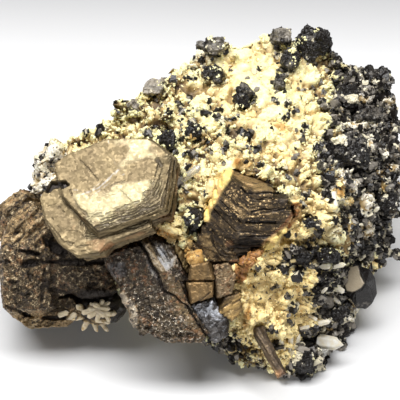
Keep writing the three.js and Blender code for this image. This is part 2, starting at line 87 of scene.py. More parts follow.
def pixels(points):
    """Where points of the display face's frame are seen in the photograph"""
    points = np.asarray(points)
    scale = PIXEL * (1 - points[:, 2] / VIEW_DISTANCE)
    centre = IMAGE_SIZE / 2
    return np.column_stack([centre + points[:, 0] / scale, centre - points[:, 1] / scale])


def seen_at(x, y, w=0.0):
    """The point at height w over the face that is seen at a pixel of the photograph"""
    scale = PIXEL * (1 - w / VIEW_DISTANCE)
    centre = IMAGE_SIZE / 2
    return np.array([(x - centre) * scale, (centre - y) * scale, w])


def scrambled(places, seed):
    """A random number from 0 to 1 for each row of whole numbers"""
    x, y, z = places.T
    mixed = (x * 374761393 + y * 668265263 + z * 1103515245 + seed * 974634777) & 0xFFFFFFFF
    mixed = ((mixed ^ (mixed >> 13)) * 1274126177) & 0xFFFFFFFF
    return (mixed ^ (mixed >> 16)) / 0xFFFFFFFF


def noise(points, size, seed):
    """Smooth noise from -1 to 1 with lumps of about the given size"""
    place = points / size
    low = np.floor(place).astype(np.int64)
    share = place - low
    share = share * share * (3 - 2 * share)
    total = np.zeros(len(points))
    for corner in np.ndindex(2, 2, 2):
        weight = np.prod(np.where(corner, share, 1 - share), axis=1)
        total += weight * scrambled(low + np.array(corner), seed)
    return 2 * total - 1


def fractal(points, size, seed, octaves=3):
    """Noise with finer noise on it"""
    total = sum(0.5**k * noise(points, size * 0.5**k, seed + k) for k in range(octaves))
    return total / (2 - 0.5 ** (octaves - 1))


def cells(points, size, seed):
    """The nearest of scattered centres to each point: its distance, the step to the second
    nearest, three random numbers of its own, and the way from it to the point"""
    place = points / size
    low = np.floor(place).astype(np.int64)
    nearest = np.full(len(points), 9.0)
    second = nearest.copy()
    own = np.zeros_like(low)
    away = np.zeros_like(place)
    for step in np.ndindex(3, 3, 3):
        cell = low + np.array(step) - 1
        offset = place - cell
        for axis in range(3):
            offset[:, axis] -= scrambled(cell, seed + axis)
        distance = np.linalg.norm(offset, axis=1)
        nearer = distance < nearest
        second = np.where(nearer, nearest, np.minimum(second, distance))
        nearest = np.where(nearer, distance, nearest)
        own[nearer] = cell[nearer]
        away[nearer] = offset[nearer]
    kinds = np.column_stack([scrambled(own, seed + 11 + k) for k in range(3)])
    return nearest, second - nearest, kinds, away


def lots(points, size, seed):
    """Three random numbers from 0 to 1 for each point, the same for all the points of a cell"""
    return cells(points, size, seed)[2]


def facets(points, size, seed):
    """Heights from about -1 to 1 that make a surface of tilted flat faces of about the size"""
    _, _, kinds, away = cells(points, size, seed)
    return 1.6 * np.sum((kinds - 0.5) * away, axis=1)


def smoothstep(low, high, value):
    share = np.clip((value - low) / (high - low), 0, 1)
    return share * share * (3 - 2 * share)


def blots(seen, patches, wobble, edge=0.3):
    """How far pixels lie in soft ellipses of (x, y, half width, half height, turn, strength)"""
    strongest = np.zeros(len(seen))
    for x, y, half_width, half_height, turn, strength in patches:
        angle = math.radians(turn)
        right = seen[:, 0] - x
        up = y - seen[:, 1]
        along = (right * math.cos(angle) + up * math.sin(angle)) / half_width
        across = (up * math.cos(angle) - right * math.sin(angle)) / half_height
        reach = np.hypot(along, across) + wobble
        strongest = np.maximum(strongest, strength * smoothstep(1 + edge, 1 - edge, reach))
    return strongest


def from_edge(seen, start, end):
    """How many pixels away pixels lie from a straight edge drawn on the photograph"""
    edge = np.subtract(end, start)
    out = seen - start
    share = np.clip(out @ edge / (edge @ edge), 0, 1)
    return np.linalg.norm(out - share[:, None] * edge, axis=1)


def within(seen, outline, feather, wobble=0.0):
    """How far pixels lie inside an outline drawn on the photograph, soft over its edge"""
    corners = np.array(outline, float)
    following = np.roll(corners, -1, axis=0)
    nearest = np.full(len(seen), 1e9)
    inside = np.zeros(len(seen), bool)
    for (ax, ay), (bx, by) in zip(corners, following):
        nearest = np.minimum(nearest, from_edge(seen, (ax, ay), (bx, by)))
        crosses = (ay > seen[:, 1]) != (by > seen[:, 1])
        rise = by - ay if by != ay else 1e-9
        inside ^= crosses & (seen[:, 0] < ax + (seen[:, 1] - ay) / rise * (bx - ax))
    return smoothstep(-feather, feather, np.where(inside, nearest, -nearest) + wobble)


def away_from(seen, line):
    """How many pixels away pixels lie from a line of points drawn on the photograph"""
    nearest = np.full(len(seen), 1e9)
    for start, end in zip(line[:-1], line[1:]):
        nearest = np.minimum(nearest, from_edge(seen, start, end))
    return nearest


def beside(seen, line, half_width, wobble=0.0):
    """How near pixels lie to a line of points drawn on the photograph"""
    return smoothstep(1.3 * half_width, 0.5 * half_width, away_from(seen, line) + wobble)


def drawn(seen, lines, wobble):
    """How near pixels lie to any of some lines of (points, half width, strength)"""
    strongest = np.zeros(len(seen))
    for points, half_width, strength in lines:
        strongest = np.maximum(strongest, strength * beside(seen, points, half_width, wobble))
    return strongest


def right_of(seen, way):
    """How many millimetres pixels lie to the right of a way over the photograph"""
    return seen @ np.array([-way[1], way[0]]) * PIXEL


# Where the quartz is stained yellow to orange brown by iron
STAINS = [
    (230, 78, 4, 18, 4, 0.6), (228, 66, 5, 9, 0, 0.4), (281, 126, 12, 4, -22, 0.75),
    (232, 100, 14, 3, 8, 0.6), (284, 156, 24, 3, -12, 0.7), (300, 172, 16, 14, 0, 0.3),
    (295, 85, 6, 6, 0, 0.5), (312, 113, 16, 4, -20, 0.5), (242, 164, 9, 5, -20, 0.9),
    (166, 234, 12, 5, -15, 0.9), (178, 238, 6, 4, 0, 0.7), (264, 245, 5, 9, -30, 0.9),
    (205, 86, 10, 4, 20, 0.3), (180, 90, 8, 4, 0, 0.4), (256, 57, 12, 4, 20, 0.3),
    (193, 135, 6, 4, 0, 0.6), (210, 138, 8, 6, 0, 0.4), (250, 112, 10, 5, 0, 0.45),
    (265, 152, 20, 3, -30, 0.6), (338, 190, 6, 6, 0, 0.8), (382, 188, 5, 5, 0, 0.8),
    (350, 203, 5, 6, 0, 0.6), (376, 262, 4, 7, 0, 0.6), (332, 332, 6, 4, 0, 0.6),
    (246, 318, 4, 16, -10, 0.8), (232, 350, 6, 5, 0, 0.6), (300, 300, 4, 16, 15, 0.6),
    (288, 282, 8, 4, 0, 0.5), (150, 100, 5, 16, 12, 0.3), (205, 178, 9, 3, -10, 0.6),
]
# Tongues of stain with clear edges, with their strength
STAINED_TONGUES = [
    ([(222, 164), (234, 172), (228, 181), (215, 203), (209, 220), (204, 219), (210, 190)], 0.42),
    ([(204, 206), (213, 189), (220, 166), (217, 188), (209, 204), (206, 218)], 0.72),
    ([(188, 238), (197, 243), (209, 266), (200, 271), (190, 272), (184, 254)], 0.85),
    ([(238, 280), (238, 262), (262, 236), (268, 240), (256, 258), (250, 284)], 0.45),
    ([(237, 284), (240, 266), (244, 264), (244, 276), (243, 286)], 0.75),
    ([(246, 292), (252, 288), (254, 316), (249, 326), (244, 318)], 0.5),
    ([(158, 214), (182, 214), (186, 240), (160, 238)], 0.3),
]
# A stained line along a raised margin, and the field round it where the quartz is warmer and given
# painted light
STAINED_MARGIN = [(240, 276), (243, 266), (254, 254), (262, 243)]
STAINED_MARGIN += [(274, 233), (290, 218), (296, 210)]
WARM_FIELD = [(245, 205), (330, 190), (320, 330), (290, 380), (235, 345), (225, 280)]

# Where the quartz is grey to white rather than yellow
ASHEN = [
    (375, 160, 42, 110, 0, 1.0), (345, 330, 40, 60, 30, 0.8), (40, 170, 34, 34, 0, 0.9),
    (90, 312, 40, 24, 0, 1.0), (200, 50, 26, 20, 0, 0.6), (330, 215, 14, 30, 0, 0.5),
]

# Where the quartz is smooth and massive, with few points standing clear
CALM = [
    (242, 62, 20, 20, 0, 1.0), (275, 88, 34, 22, -10, 1.0), (300, 70, 24, 16, 0, 0.8),
    (262, 108, 30, 16, 0, 0.85), (288, 132, 28, 16, 0, 0.7), (228, 92, 14, 16, 0, 0.8),
    (318, 120, 14, 14, 0, 0.6), (275, 245, 14, 16, -30, 0.3), (222, 185, 10, 28, -15, 1.0),
    (250, 75, 60, 35, -10, 0.75), (292, 122, 42, 45, 0, 0.5), (200, 112, 30, 25, -10, 0.5),
    (195, 185, 22, 30, 0, 0.45), (290, 190, 30, 20, 0, 0.3), (264, 264, 18, 20, 0, 0.25),
    (270, 300, 16, 24, 0, 0.35), (272, 335, 22, 22, 0, 0.25),
]

# Where the quartz stands up against its neighbours: points, half width, height in mm
RAISED = [
    ([(50, 148), (40, 162), (38, 180), (46, 196)], 14, 4.5),
    ([(240, 284), (246, 268), (258, 258)], 10, 1.5),
    ([(254, 256), (264, 245), (278, 231), (294, 216)], 8, 1.8),
    ([(216, 176), (206, 196), (200, 214)], 9, 1.5),
    ([(160, 222), (172, 234), (182, 240)], 10, 2.5),
    ([(190, 240), (200, 264)], 9, 3.0),
    ([(246, 290), (248, 320)], 7, 2.0),
    ([(240, 160), (262, 170), (284, 184), (298, 200)], 8, 2.0),
    ([(176, 160), (184, 200)], 8, 1.0),
]

# Where the druse between the quartz points is crowded with small black sphalerite crystals
DARK_FIELDS = [
    (
        [(332, 46), (404, 50), (404, 272), (378, 268), (350, 262), (343, 246), (340, 200)]
        + [(326, 196), (322, 178), (318, 150), (330, 128), (333, 100)],
        0.92,
    ),
    (
        [(312, 243), (341, 262), (350, 268), (344, 290), (352, 302), (348, 318), (344, 345)]
        + [(322, 375), (285, 388), (282, 366), (308, 352), (306, 332), (313, 312), (313, 290)]
        + [(314, 268), (300, 262), (284, 264), (284, 250), (300, 246)],
        0.85,
    ),
    ([(238, 340), (250, 344), (262, 362), (270, 378), (258, 382), (238, 362)], 0.25),
    ([(24, 196), (24, 172), (38, 148), (62, 140), (64, 158), (52, 176), (46, 198)], 0.12),
    ([(176, 98), (240, 104), (242, 150), (178, 158)], 0.05),
    ([(210, 60), (320, 70), (330, 150), (320, 205), (250, 168), (240, 110)], 0.012),
    ([(250, 270), (300, 225), (335, 215), (330, 345), (270, 375), (250, 330)], 0.02),
    ([(205, 336), (236, 334), (240, 352), (230, 366), (210, 352)], 0.75),
]

# Pale quartz that stands clear in the dark fields
PALE_SPOTS = [
    (356, 125, 25, 4, 3, 1.0), (338, 136, 8, 9, 0, 1.0), (371, 145, 4, 8, 0, 1.0),
    (385, 153, 5, 5, 0, 0.9), (393, 168, 6, 4, 0, 0.8), (339, 172, 15, 4, 0, 1.0),
    (341, 183, 5, 7, 0, 1.0), (354, 186, 4.5, 7, 0, 1.0), (337, 194, 7, 7, 0, 1.0),
    (348, 201, 5, 5, 0, 1.0), (381, 173, 5, 6, 0, 0.9), (385, 190, 4, 8, 0, 0.9),
    (367, 203, 7, 12, -15, 1.0), (368, 229, 5.5, 9, 0, 1.0), (350, 224, 4, 9, 0, 1.0),
    (330, 225, 11, 22, 0, 1.0), (345, 244, 6, 11, -15, 1.0), (393, 216, 3, 6, 0, 0.8),
    (357, 99, 14, 5, 0, 1.0), (346, 62, 4, 8, -15, 0.9), (390, 100, 8, 6, 0, 0.9),
    (375, 80, 4, 4, 0, 0.6), (388, 90, 4, 4, 0, 0.8), (336, 75, 6, 5, 0, 0.7),
    (376, 261, 5, 8, 0, 0.9), (395, 241, 5, 5, 0, 0.7), (305, 296, 5, 20, 10, 1.0),
    (293, 282, 6, 10, 0, 1.0), (310, 275, 7, 11, 0, 1.0), (333, 289, 6, 4, 20, 0.8),
    (325, 298, 7, 4, 0, 0.5), (337, 303, 4, 4, -20, 0.8), (312, 322, 12, 6, -10, 1.0),
    (328, 325, 7, 6, 30, 0.9), (290, 345, 12, 18, 10, 1.0), (348, 319, 5, 3, 20, 0.7),
    (317, 356, 6, 5, 0, 0.6),
]

# Clusters of small black crystals: (x, y, half width, half height, turn)
BLACK_CLUSTERS = [
    (292, 306, 5, 7, -20), (286, 298, 3, 3, 0), (279, 268, 4, 4, 30), (276, 286, 3, 2, 0),
    (298, 274, 4, 5, 0), (303, 331, 4, 4, 0), (297, 356, 3, 6, 20), (271, 330, 3, 5, 0),
    (262, 345, 3, 4, 0), (311, 240, 6, 3, 0), (311, 222, 7, 4, 0), (205, 43, 8, 3, 20),
    (192, 56, 3, 7, -25), (202, 60, 3, 3, 0), (219, 55, 2.5, 3, 0), (206, 69, 4, 2.5, 0),
    (193, 68, 5, 1.8, 8), (191, 78, 7, 3, -5), (204, 73, 3, 1.5, 20), (166, 78, 5, 1.8, 10),
    (175, 80, 4, 4, 0), (137, 93, 1.6, 4.5, 30), (119, 114, 1.5, 7, 22), (130, 96, 5, 2, 10),
    (155, 97, 7.5, 3, -15), (164, 105, 4, 1.4, 10), (168, 113, 3.5, 4, 0), (168, 121, 2, 3, 0),
    (190, 97, 4, 3.5, -40), (181, 105, 4, 3.5, 0), (183, 114, 5.5, 5, 0), (191, 123, 7, 4, -20),
    (196, 128, 4, 3, 0), (205, 114, 5, 4, 0), (217, 117, 6, 3, -10), (221, 123, 3, 6, 0),
    (228, 132, 2.4, 6, 0), (231, 120, 4, 2, 0), (237, 117, 3.5, 2, 30), (160, 127, 12, 2.6, 0),
    (147, 134, 4.5, 6, 0), (102, 130, 6, 5, 0), (86, 133, 3, 6, -10), (117, 131, 3, 1.5, 30),
    (164, 142, 6, 5, 0), (175, 152, 4, 4, -30), (187, 151, 3, 2, 0), (195, 155, 4, 4, 0),
    (185, 155, 1.6, 1.6, 0), (223, 152, 3.2, 5.5, 8), (212, 152, 2, 1.8, 0),
    (228, 144, 3.4, 1.6, 20), (246, 134, 9, 4.5, -20), (251, 147, 11, 2.4, 2),
    (258, 150, 3, 7, -15), (253, 103, 2, 3, 0), (177, 178, 6, 11, 8), (186, 167, 8, 3, 18),
    (186, 189, 2.4, 4, 0), (168, 165, 2.5, 4, -30), (196, 222, 9, 15, -12),
    (224, 164, 1.6, 1.6, 0), (205, 194, 2.2, 2.2, 0), (270, 35, 2, 4, 0), (305, 27, 5, 3, 0),
    (305, 38, 8, 6, -15), (297, 47, 2.5, 3, 0), (280, 55, 10, 3, -12), (296, 56, 5, 5, 0),
    (305, 51, 5, 2.2, 40), (290, 66, 6, 6, 0), (258, 70, 4.5, 3, 0), (311, 63, 4.5, 2.5, 0),
    (316, 66, 1, 3, 0), (301, 98, 1.5, 1.5, 0), (287, 103, 4, 4, 40), (324, 92, 4.5, 3, -10),
    (303, 90, 2.5, 1.5, 0), (313, 88, 2, 1.4, 0), (290, 113, 7, 2.6, 25), (285, 119, 3, 3.5, 0),
    (296, 110, 4, 3, 0), (274, 100, 2, 4, 10), (321, 103, 6.5, 5, 0), (329, 107, 4, 4, 0),
    (305, 128, 3, 6, 0), (303, 138, 2.6, 7, 15), (327, 134, 5, 4.5, 0), (319, 147, 6, 3, 0),
    (296, 156, 6, 2.6, 35), (261, 165, 3.4, 4.4, 0), (282, 167, 5.5, 3, -12),
    (296, 173, 4.5, 3, 30), (288, 175, 3, 5, 0), (257, 175, 2, 4, 0), (268, 181, 3, 2.4, 0),
    (305, 196, 3.2, 4, 0), (302, 204, 3.5, 3.5, 0), (329, 180, 6, 8, 0), (309, 222, 8, 3.6, 6),
    (320, 233, 4, 4, 0), (335, 222, 4, 4.5, 0), (287, 234, 5, 3, 0), (265, 246, 2.6, 3.4, 30),
    (293, 251, 6, 5, 0), (290, 263, 9, 4, -10), (304, 266, 6, 3, 0), (283, 271, 6, 3.4, -10),
    (297, 273, 5, 6, 0), (325, 252, 13, 7, 0), (279, 286, 6, 2, 5), (288, 296, 2.4, 4, 0),
    (294, 306, 4.6, 7, 15), (288, 317, 2, 5, 0), (306, 291, 3.6, 5, 0), (322, 300, 10, 7, 0),
    (272, 330, 6, 3, -8), (276, 346, 4.5, 4.5, 0), (308, 333, 3, 3, 0), (317, 340, 6, 7, 0),
    (302, 346, 7, 8, 0), (347, 328, 8, 9, 0), (249, 343, 2, 3.4, -20), (254, 352, 3, 2, 0),
    (248, 357, 3, 3, 0), (257, 365, 3, 2, 0), (264, 368, 3, 2, 0), (270, 374, 5, 2.4, 0),
    (320, 363, 9, 6, 20),
]


def added(name, data):
    """A new object in the scene that shows a mesh, lamp or camera"""
    item = bpy.data.objects.new(name, data)
    bpy.context.scene.collection.objects.link(item)
    return item


def link(name, mesh, material, slot, *nodes):
    """Puts a finished mesh in the scene as a piece of the specimen"""
    piece = added(name, mesh)
    mesh.materials.clear()
    mesh.materials.append(material)
    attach(piece, "root")
    if nodes:
        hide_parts(*nodes)
    return piece


def put_attributes(mesh, values):
    """Gives the vertices attributes: one number for each vertex, or one for them all"""
    for name, numbers in values.items():
        attribute = mesh.attributes.new(name, "FLOAT", "POINT")
        attribute.data.foreach_set("value", np.full(len(mesh.vertices), numbers, np.float32))


def merged(*nodes):
    """One mesh with the solids of some nodes, each corner once"""
    bm = bmesh.new()
    for node in nodes:
        bm.from_mesh(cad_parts[node].data)
    bmesh.ops.remove_doubles(bm, verts=bm.verts, dist=1e-6)
    mesh = bpy.data.meshes.new(nodes[0] + "_merged")
    bm.to_mesh(mesh)
    bm.free()
    return mesh


def modified(holder, kind, **settings):
    """The mesh that a modifier makes of an object's own one, in place of both"""
    modifier = holder.modifiers.new(kind, kind)
    for key, value in settings.items():
        setattr(modifier, key, value)
    graph = bpy.context.evaluated_depsgraph_get()
    mesh = holder.data
    result = bpy.data.meshes.new_from_object(holder.evaluated_get(graph))
    bpy.data.objects.remove(holder)
    bpy.data.meshes.remove(mesh)
    return result


def remeshed(mesh, voxel):
    """The mesh with its surface made anew in even squares"""
    return modified(added("remeshing", mesh), "REMESH", mode="VOXEL", voxel_size=voxel * MM)


def facing(place, target):
    """The turn of a lamp or camera that looks from a place at a target"""
    return (Vector(target) - Vector(place)).to_track_quat("-Z", "Y").to_euler()


def points_of(mesh):
    flat = np.empty(3 * len(mesh.vertices), np.float32)
    mesh.vertices.foreach_get("co", flat)
    return to_face(flat.reshape(-1, 3))


def normals_of(mesh):
    flat = np.empty(3 * len(mesh.vertices), np.float32)
    mesh.vertex_normals.foreach_get("vector", flat)
    return flat.reshape(-1, 3) @ TO_WORLD


def box_of(node):
    """The middle of a node's solid and half its size, in the display face's frame"""
    solid = points_of(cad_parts[node].data)
    low, high = solid.min(axis=0), solid.max(axis=0)
    return (low + high) / 2, (high - low) / 2


def set_points(mesh, points):
    """Moves the vertices to points of the display face's frame, none of them under the table"""
    world = to_world(points)
    world[:, 2] = np.maximum(world[:, 2], 0)
    mesh.vertices.foreach_set("co", world.astype(np.float32).ravel())
    mesh.update()


def eased(mesh, points):
    """The points moved half way to the middle of their neighbours"""
    pairs = np.empty(2 * len(mesh.edges), np.int32)
    mesh.edges.foreach_get("vertices", pairs)
    a, b = pairs.reshape(-1, 2).T
    count = np.bincount(a, minlength=len(points)) + np.bincount(b, minlength=len(points))
    middle = np.empty_like(points)
    for axis in range(3):
        sums = np.bincount(a, points[b, axis], len(points))
        sums += np.bincount(b, points[a, axis], len(points))
        middle[:, axis] = sums / count
    return 0.5 * points + 0.5 * middle


def shade(mesh, smooth):
    mesh.polygons.foreach_set("use_smooth", np.full(len(mesh.polygons), smooth))


def thinned(mesh, shares, ratio):
    """The mesh with fewer triangles, taken away where the vertices' shares are larger"""
    holder = added("thinning", mesh)
    group = holder.vertex_groups.new(name="thinned")
    for step in range(11):
        group.add(np.flatnonzero(np.round(10 * shares) == step).tolist(), step / 10, "REPLACE")
    settings = {"ratio": ratio, "vertex_group": group.name, "vertex_group_factor": 4.0}
    return modified(holder, "DECIMATE", **settings)


def carved(mesh, voxel, carve, smooth=False):
    """The mesh made anew in even squares, with a surface that carve(points, normals) moves along
    its normals: it gives the heights and the attributes of the vertices. A smooth surface is
    eased before that"""
    mesh = remeshed(mesh, voxel)
    points = points_of(mesh)
    if smooth:
        points = eased(mesh, points)
        set_points(mesh, points)
    normals = normals_of(mesh)
    heights, attributes = carve(points, normals)
    set_points(mesh, points + heights[:, None] * normals)
    put_attributes(mesh, attributes)
    shade(mesh, smooth)
    return mesh


def turned(degrees):
    """The matrix of turns about x, y and z, the one about z first"""
    x, y, z = np.radians(degrees)
    about_x = [[1, 0, 0], [0, math.cos(x), -math.sin(x)], [0, math.sin(x), math.cos(x)]]
    about_y = [[math.cos(y), 0, math.sin(y)], [0, 1, 0], [-math.sin(y), 0, math.cos(y)]]
    about_z = [[math.cos(z), -math.sin(z), 0], [math.sin(z), math.cos(z), 0], [0, 0, 1]]
    return np.array(about_x) @ np.array(about_y) @ np.array(about_z)


def shape_arrays(bm):
    """The corners and faces of a bmesh, for copies joined in one mesh"""
    bmesh.ops.recalc_face_normals(bm, faces=bm.faces)
    bm.verts.ensure_lookup_table()
    corners = np.array([v.co for v in bm.verts])
    faces = [[v.index for v in face.verts] for face in bm.faces]
    bm.free()
    return corners, faces


def quartz_shape(shoulder, taper):
    """A six-sided quartz crystal one unit in radius and in length, standing on its foot"""
    bm = bmesh.new()
    bmesh.ops.create_cone(bm, cap_ends=True, segments=6, radius1=1, radius2=taper, depth=1)
    bmesh.ops.translate(bm, verts=bm.verts, vec=(0, 0, 0.5))
    ring = [v for v in bm.verts if v.co.z > 0.5]
    top = [f for f in bm.faces if all(v in ring for v in f.verts)]
    bmesh.ops.translate(bm, verts=ring, vec=(0, 0, shoulder - 1))
    poked = bmesh.ops.poke(bm, faces=top)
    bmesh.ops.translate(bm, verts=poked["verts"], vec=(0, 0, 1 - shoulder))
    return shape_arrays(bm)


def block_shape(random, cuts):
    """An irregular blocky crystal about one unit in radius: a box with pieces split off it"""
    bm = bmesh.new()
    bmesh.ops.create_cube(bm, size=1.75)
    bmesh.ops.scale(bm, verts=bm.verts, vec=0.8 + 0.4 * random.random(3))
    for _ in range(cuts):
        way = Vector(random.normal(size=3)).normalized()
        whole = bm.verts[:] + bm.edges[:] + bm.faces[:]
        place = way * (0.6 + 0.3 * random.random())
        bmesh.ops.bisect_plane(bm, geom=whole, plane_co=place, plane_no=way, clear_outer=True)
        bmesh.ops.holes_fill(bm, edges=bm.edges)
    return shape_arrays(bm)


def unit(ways):
    """The same ways, each one unit long"""
    return ways / np.linalg.norm(ways, axis=1, keepdims=True)


def upright(directions, spins):
    """Turns that stand a shape along each direction, spun about it"""
    ways = unit(directions)
    helper = np.where(np.abs(ways[:, 2:3]) < 0.9, [[0.0, 0.0, 1.0]], [[1.0, 0.0, 0.0]])
    first = unit(np.cross(helper, ways))
    second = np.cross(ways, first)
    cos, sin = np.cos(spins)[:, None], np.sin(spins)[:, None]
    return np.stack([cos * first + sin * second, cos * second - sin * first, ways], axis=2)


def grown(name, shapes, kinds, feet, directions, spins, sizes, attributes):
    """One mesh of copies of some shapes: each stands on its foot along its direction"""
    turns = upright(directions, spins)
    points, loops, totals, owners = [], [], [], []
    first = 0
    for kind, (corners, faces) in enumerate(shapes):
        chosen = np.flatnonzero(kinds == kind)
        local = corners[None] * sizes[chosen, None]
        placed = np.einsum("nij,nkj->nki", turns[chosen], local) + feet[chosen, None]
        points.append(placed.reshape(-1, 3))
        shifts = first + len(corners) * np.arange(len(chosen))
        flat = np.concatenate([np.array(face) for face in faces])
        loops.append((flat[None] + shifts[:, None]).ravel())
        totals.append(np.tile([len(face) for face in faces], len(chosen)))
        owners.append(np.repeat(chosen, len(corners)))
        first += len(corners) * len(chosen)
    points, loops, totals, owners = map(np.concatenate, (points, loops, totals, owners))
    mesh = bpy.data.meshes.new(name)
    mesh.vertices.add(len(points))
    mesh.loops.add(len(loops))
    mesh.polygons.add(len(totals))
    mesh.loops.foreach_set("vertex_index", loops.astype(np.int32))
    mesh.polygons.foreach_set("loop_start", (np.cumsum(totals) - totals).astype(np.int32))
    set_points(mesh, points)
    mesh.update(calc_edges=True)
    shade(mesh, False)
    put_attributes(mesh, {key: value[owners] for key, value in attributes.items()})
    return mesh


class Ground:
    """The surfaces that small crystals grow on, found by a line of sight or at random"""

    def __init__(self, *meshes):
        corners, triangles = [], []
        for mesh in meshes:
            mesh.calc_loop_triangles()
            flat = np.empty(3 * len(mesh.loop_triangles), np.int32)
            mesh.loop_triangles.foreach_get("vertices", flat)
            triangles.append(flat.reshape(-1, 3) + sum(len(part) for part in corners))
            corners.append(points_of(mesh))
        self.corners = np.concatenate(corners)
        self.triangles = np.concatenate(triangles)
        self.tree = BVHTree.FromPolygons(
            [Vector(c) for c in self.corners], self.triangles.tolist(), all_triangles=True
        )
        a, b, c = (self.corners[self.triangles[:, k]] for k in range(3))
        crossed = np.cross(b - a, c - a)
        self.areas = np.linalg.norm(crossed, axis=1) / 2
        self.normals = crossed / np.maximum(1e-9, 2 * self.areas[:, None])
        self.middles = (a + b + c) / 3

    def seen(self, places):
        """The points and normals that are seen at pixels of the photograph, and which pixels
        have any"""
        eye = Vector((0, 0, VIEW_DISTANCE))
        points, normals, found = [], [], []
        for x, y in places:
            hit, normal, _, _ = self.tree.ray_cast(eye, Vector(seen_at(x, y)) - eye)
            found.append(hit is not None)
            if hit is not None:
                points.append(hit)
                normals.append(normal)
        return np.array(points).reshape(-1, 3), np.array(normals).reshape(-1, 3), np.array(found)

    def scattered(self, count, weights, random):
        """Random points and normals, more where the triangles' weights are larger"""
        share = np.cumsum(self.areas * weights)
        picked = np.searchsorted(share, random.random(count) * share[-1])
        s, t = random.random((2, count))
        over = s + t > 1
        s, t = np.where(over, 1 - s, s), np.where(over, 1 - t, t)
        a, b, c = (self.corners[self.triangles[picked, k]] for k in range(3))
        points = a + s[:, None] * (b - a) + t[:, None] * (c - a)
        return points, self.normals[picked]

    def clearance(self, points):
        """How far points are from the surfaces, below 0 where they are inside"""
        result = np.empty(len(points))
        for i, point in enumerate(points):
            hit, normal, _, distance = self.tree.find_nearest(Vector(point))
            inside = (Vector(point) - hit).dot(normal) < 0
            result[i] = -distance if inside else distance
        return result


class Number:
    """A number that varies over a surface; arithmetic on it adds Math nodes"""

    def __init__(self, finish, socket):
        self.finish = finish
        self.socket = socket

    def math(self, operation, *values):
        node = self.finish.node("ShaderNodeMath", {"operation": operation}, dict(enumerate(values)))
        return Number(self.finish, node.outputs[0])

    def __add__(self, other):
        return self.math("ADD", self, other)

    def __radd__(self, other):
        return self.math("ADD", other, self)

    def __sub__(self, other):
        return self.math("SUBTRACT", self, other)

    def __rsub__(self, other):
        return self.math("SUBTRACT", other, self)

    def __mul__(self, other):
        return self.math("MULTIPLY", self, other)

    def __rmul__(self, other):
        return self.math("MULTIPLY", other, self)

    def between(self, low, high):
        """0 below low, 1 above high, and even in between"""
        inputs = {"Value": self, "From Min": low, "From Max": high, "To Min": 0.0, "To Max": 1.0}
        node = self.finish.node("ShaderNodeMapRange", {"clamp": True}, inputs)
        return Number(self.finish, node.outputs[0])


class Finish:
    """A material: a Principled shader whose constants are set on it, and the nodes that vary it"""

    def __init__(self, name, **constants):
        self.material = bpy.data.materials.new(name)
        self.material.use_nodes = True
        self.tree = self.material.node_tree
        self.shader = self.tree.nodes["Principled BSDF"]
        for socket, value in constants.items():
            self.shader.inputs[socket.replace("_", " ")].default_value = value
        self.place = self.node("ShaderNodeTexCoord").outputs["Object"]

    def node(self, kind, settings=None, inputs=None):
        node = self.tree.nodes.new(kind)
        for key, value in (settings or {}).items():
            setattr(node, key, value)
        for key, value in (inputs or {}).items():
            self.put(node.inputs[key], value)
        return node

    def put(self, socket, value):
        if isinstance(value, Number):
            value = value.socket
        if isinstance(value, bpy.types.NodeSocket):
            self.tree.links.new(value, socket)
        elif socket.type == "RGBA" and len(value) == 3:
            socket.default_value = (*value, 1.0)
        else:
            socket.default_value = value

    def noise(self, size, detail, roughness=0.55, place=None):
        inputs = {
            "Vector": place or self.place,
            "Scale": 1 / (size * MM),
            "Detail": detail,
            "Roughness": roughness,
        }
        return Number(self, self.node("ShaderNodeTexNoise", None, inputs).outputs["Fac"])

    def grains(self, size):
        """A random number for each of the grains of about a size"""
        inputs = {"Vector": self.place, "Scale": 1 / (size * MM)}
        cell = self.node("ShaderNodeTexVoronoi", None, inputs)
        split = self.node("ShaderNodeSeparateColor", None, {"Color": cell.outputs["Color"]})
        return Number(self, split.outputs[0])

    def stretched(self, turn, stretch):
        """Object coordinates turned, then stretched, for patterns that run one way"""
        inputs = {"Vector": self.place, "Rotation": turn, "Scale": stretch}
        return self.node("ShaderNodeMapping", {"vector_type": "TEXTURE"}, inputs).outputs[0]

    def attribute(self, name):
        node = self.node("ShaderNodeAttribute", {"attribute_name": name})
        return Number(self, node.outputs["Fac"])

    def mix(self, share, first, second):
        inputs = {"Factor": share, 6: first, 7: second}
        node = self.node("ShaderNodeMix", {"data_type": "RGBA"}, inputs)
        return node.outputs[2]

    def bump(self, height, depth, strength):
        inputs = {"Height": height, "Distance": depth * MM, "Strength": strength}
        return self.node("ShaderNodeBump", None, inputs).outputs[0]

    def done(self, **inputs):
        for socket, value in inputs.items():
            self.put(self.shader.inputs[socket.replace("_", " ")], value)
        return self.material


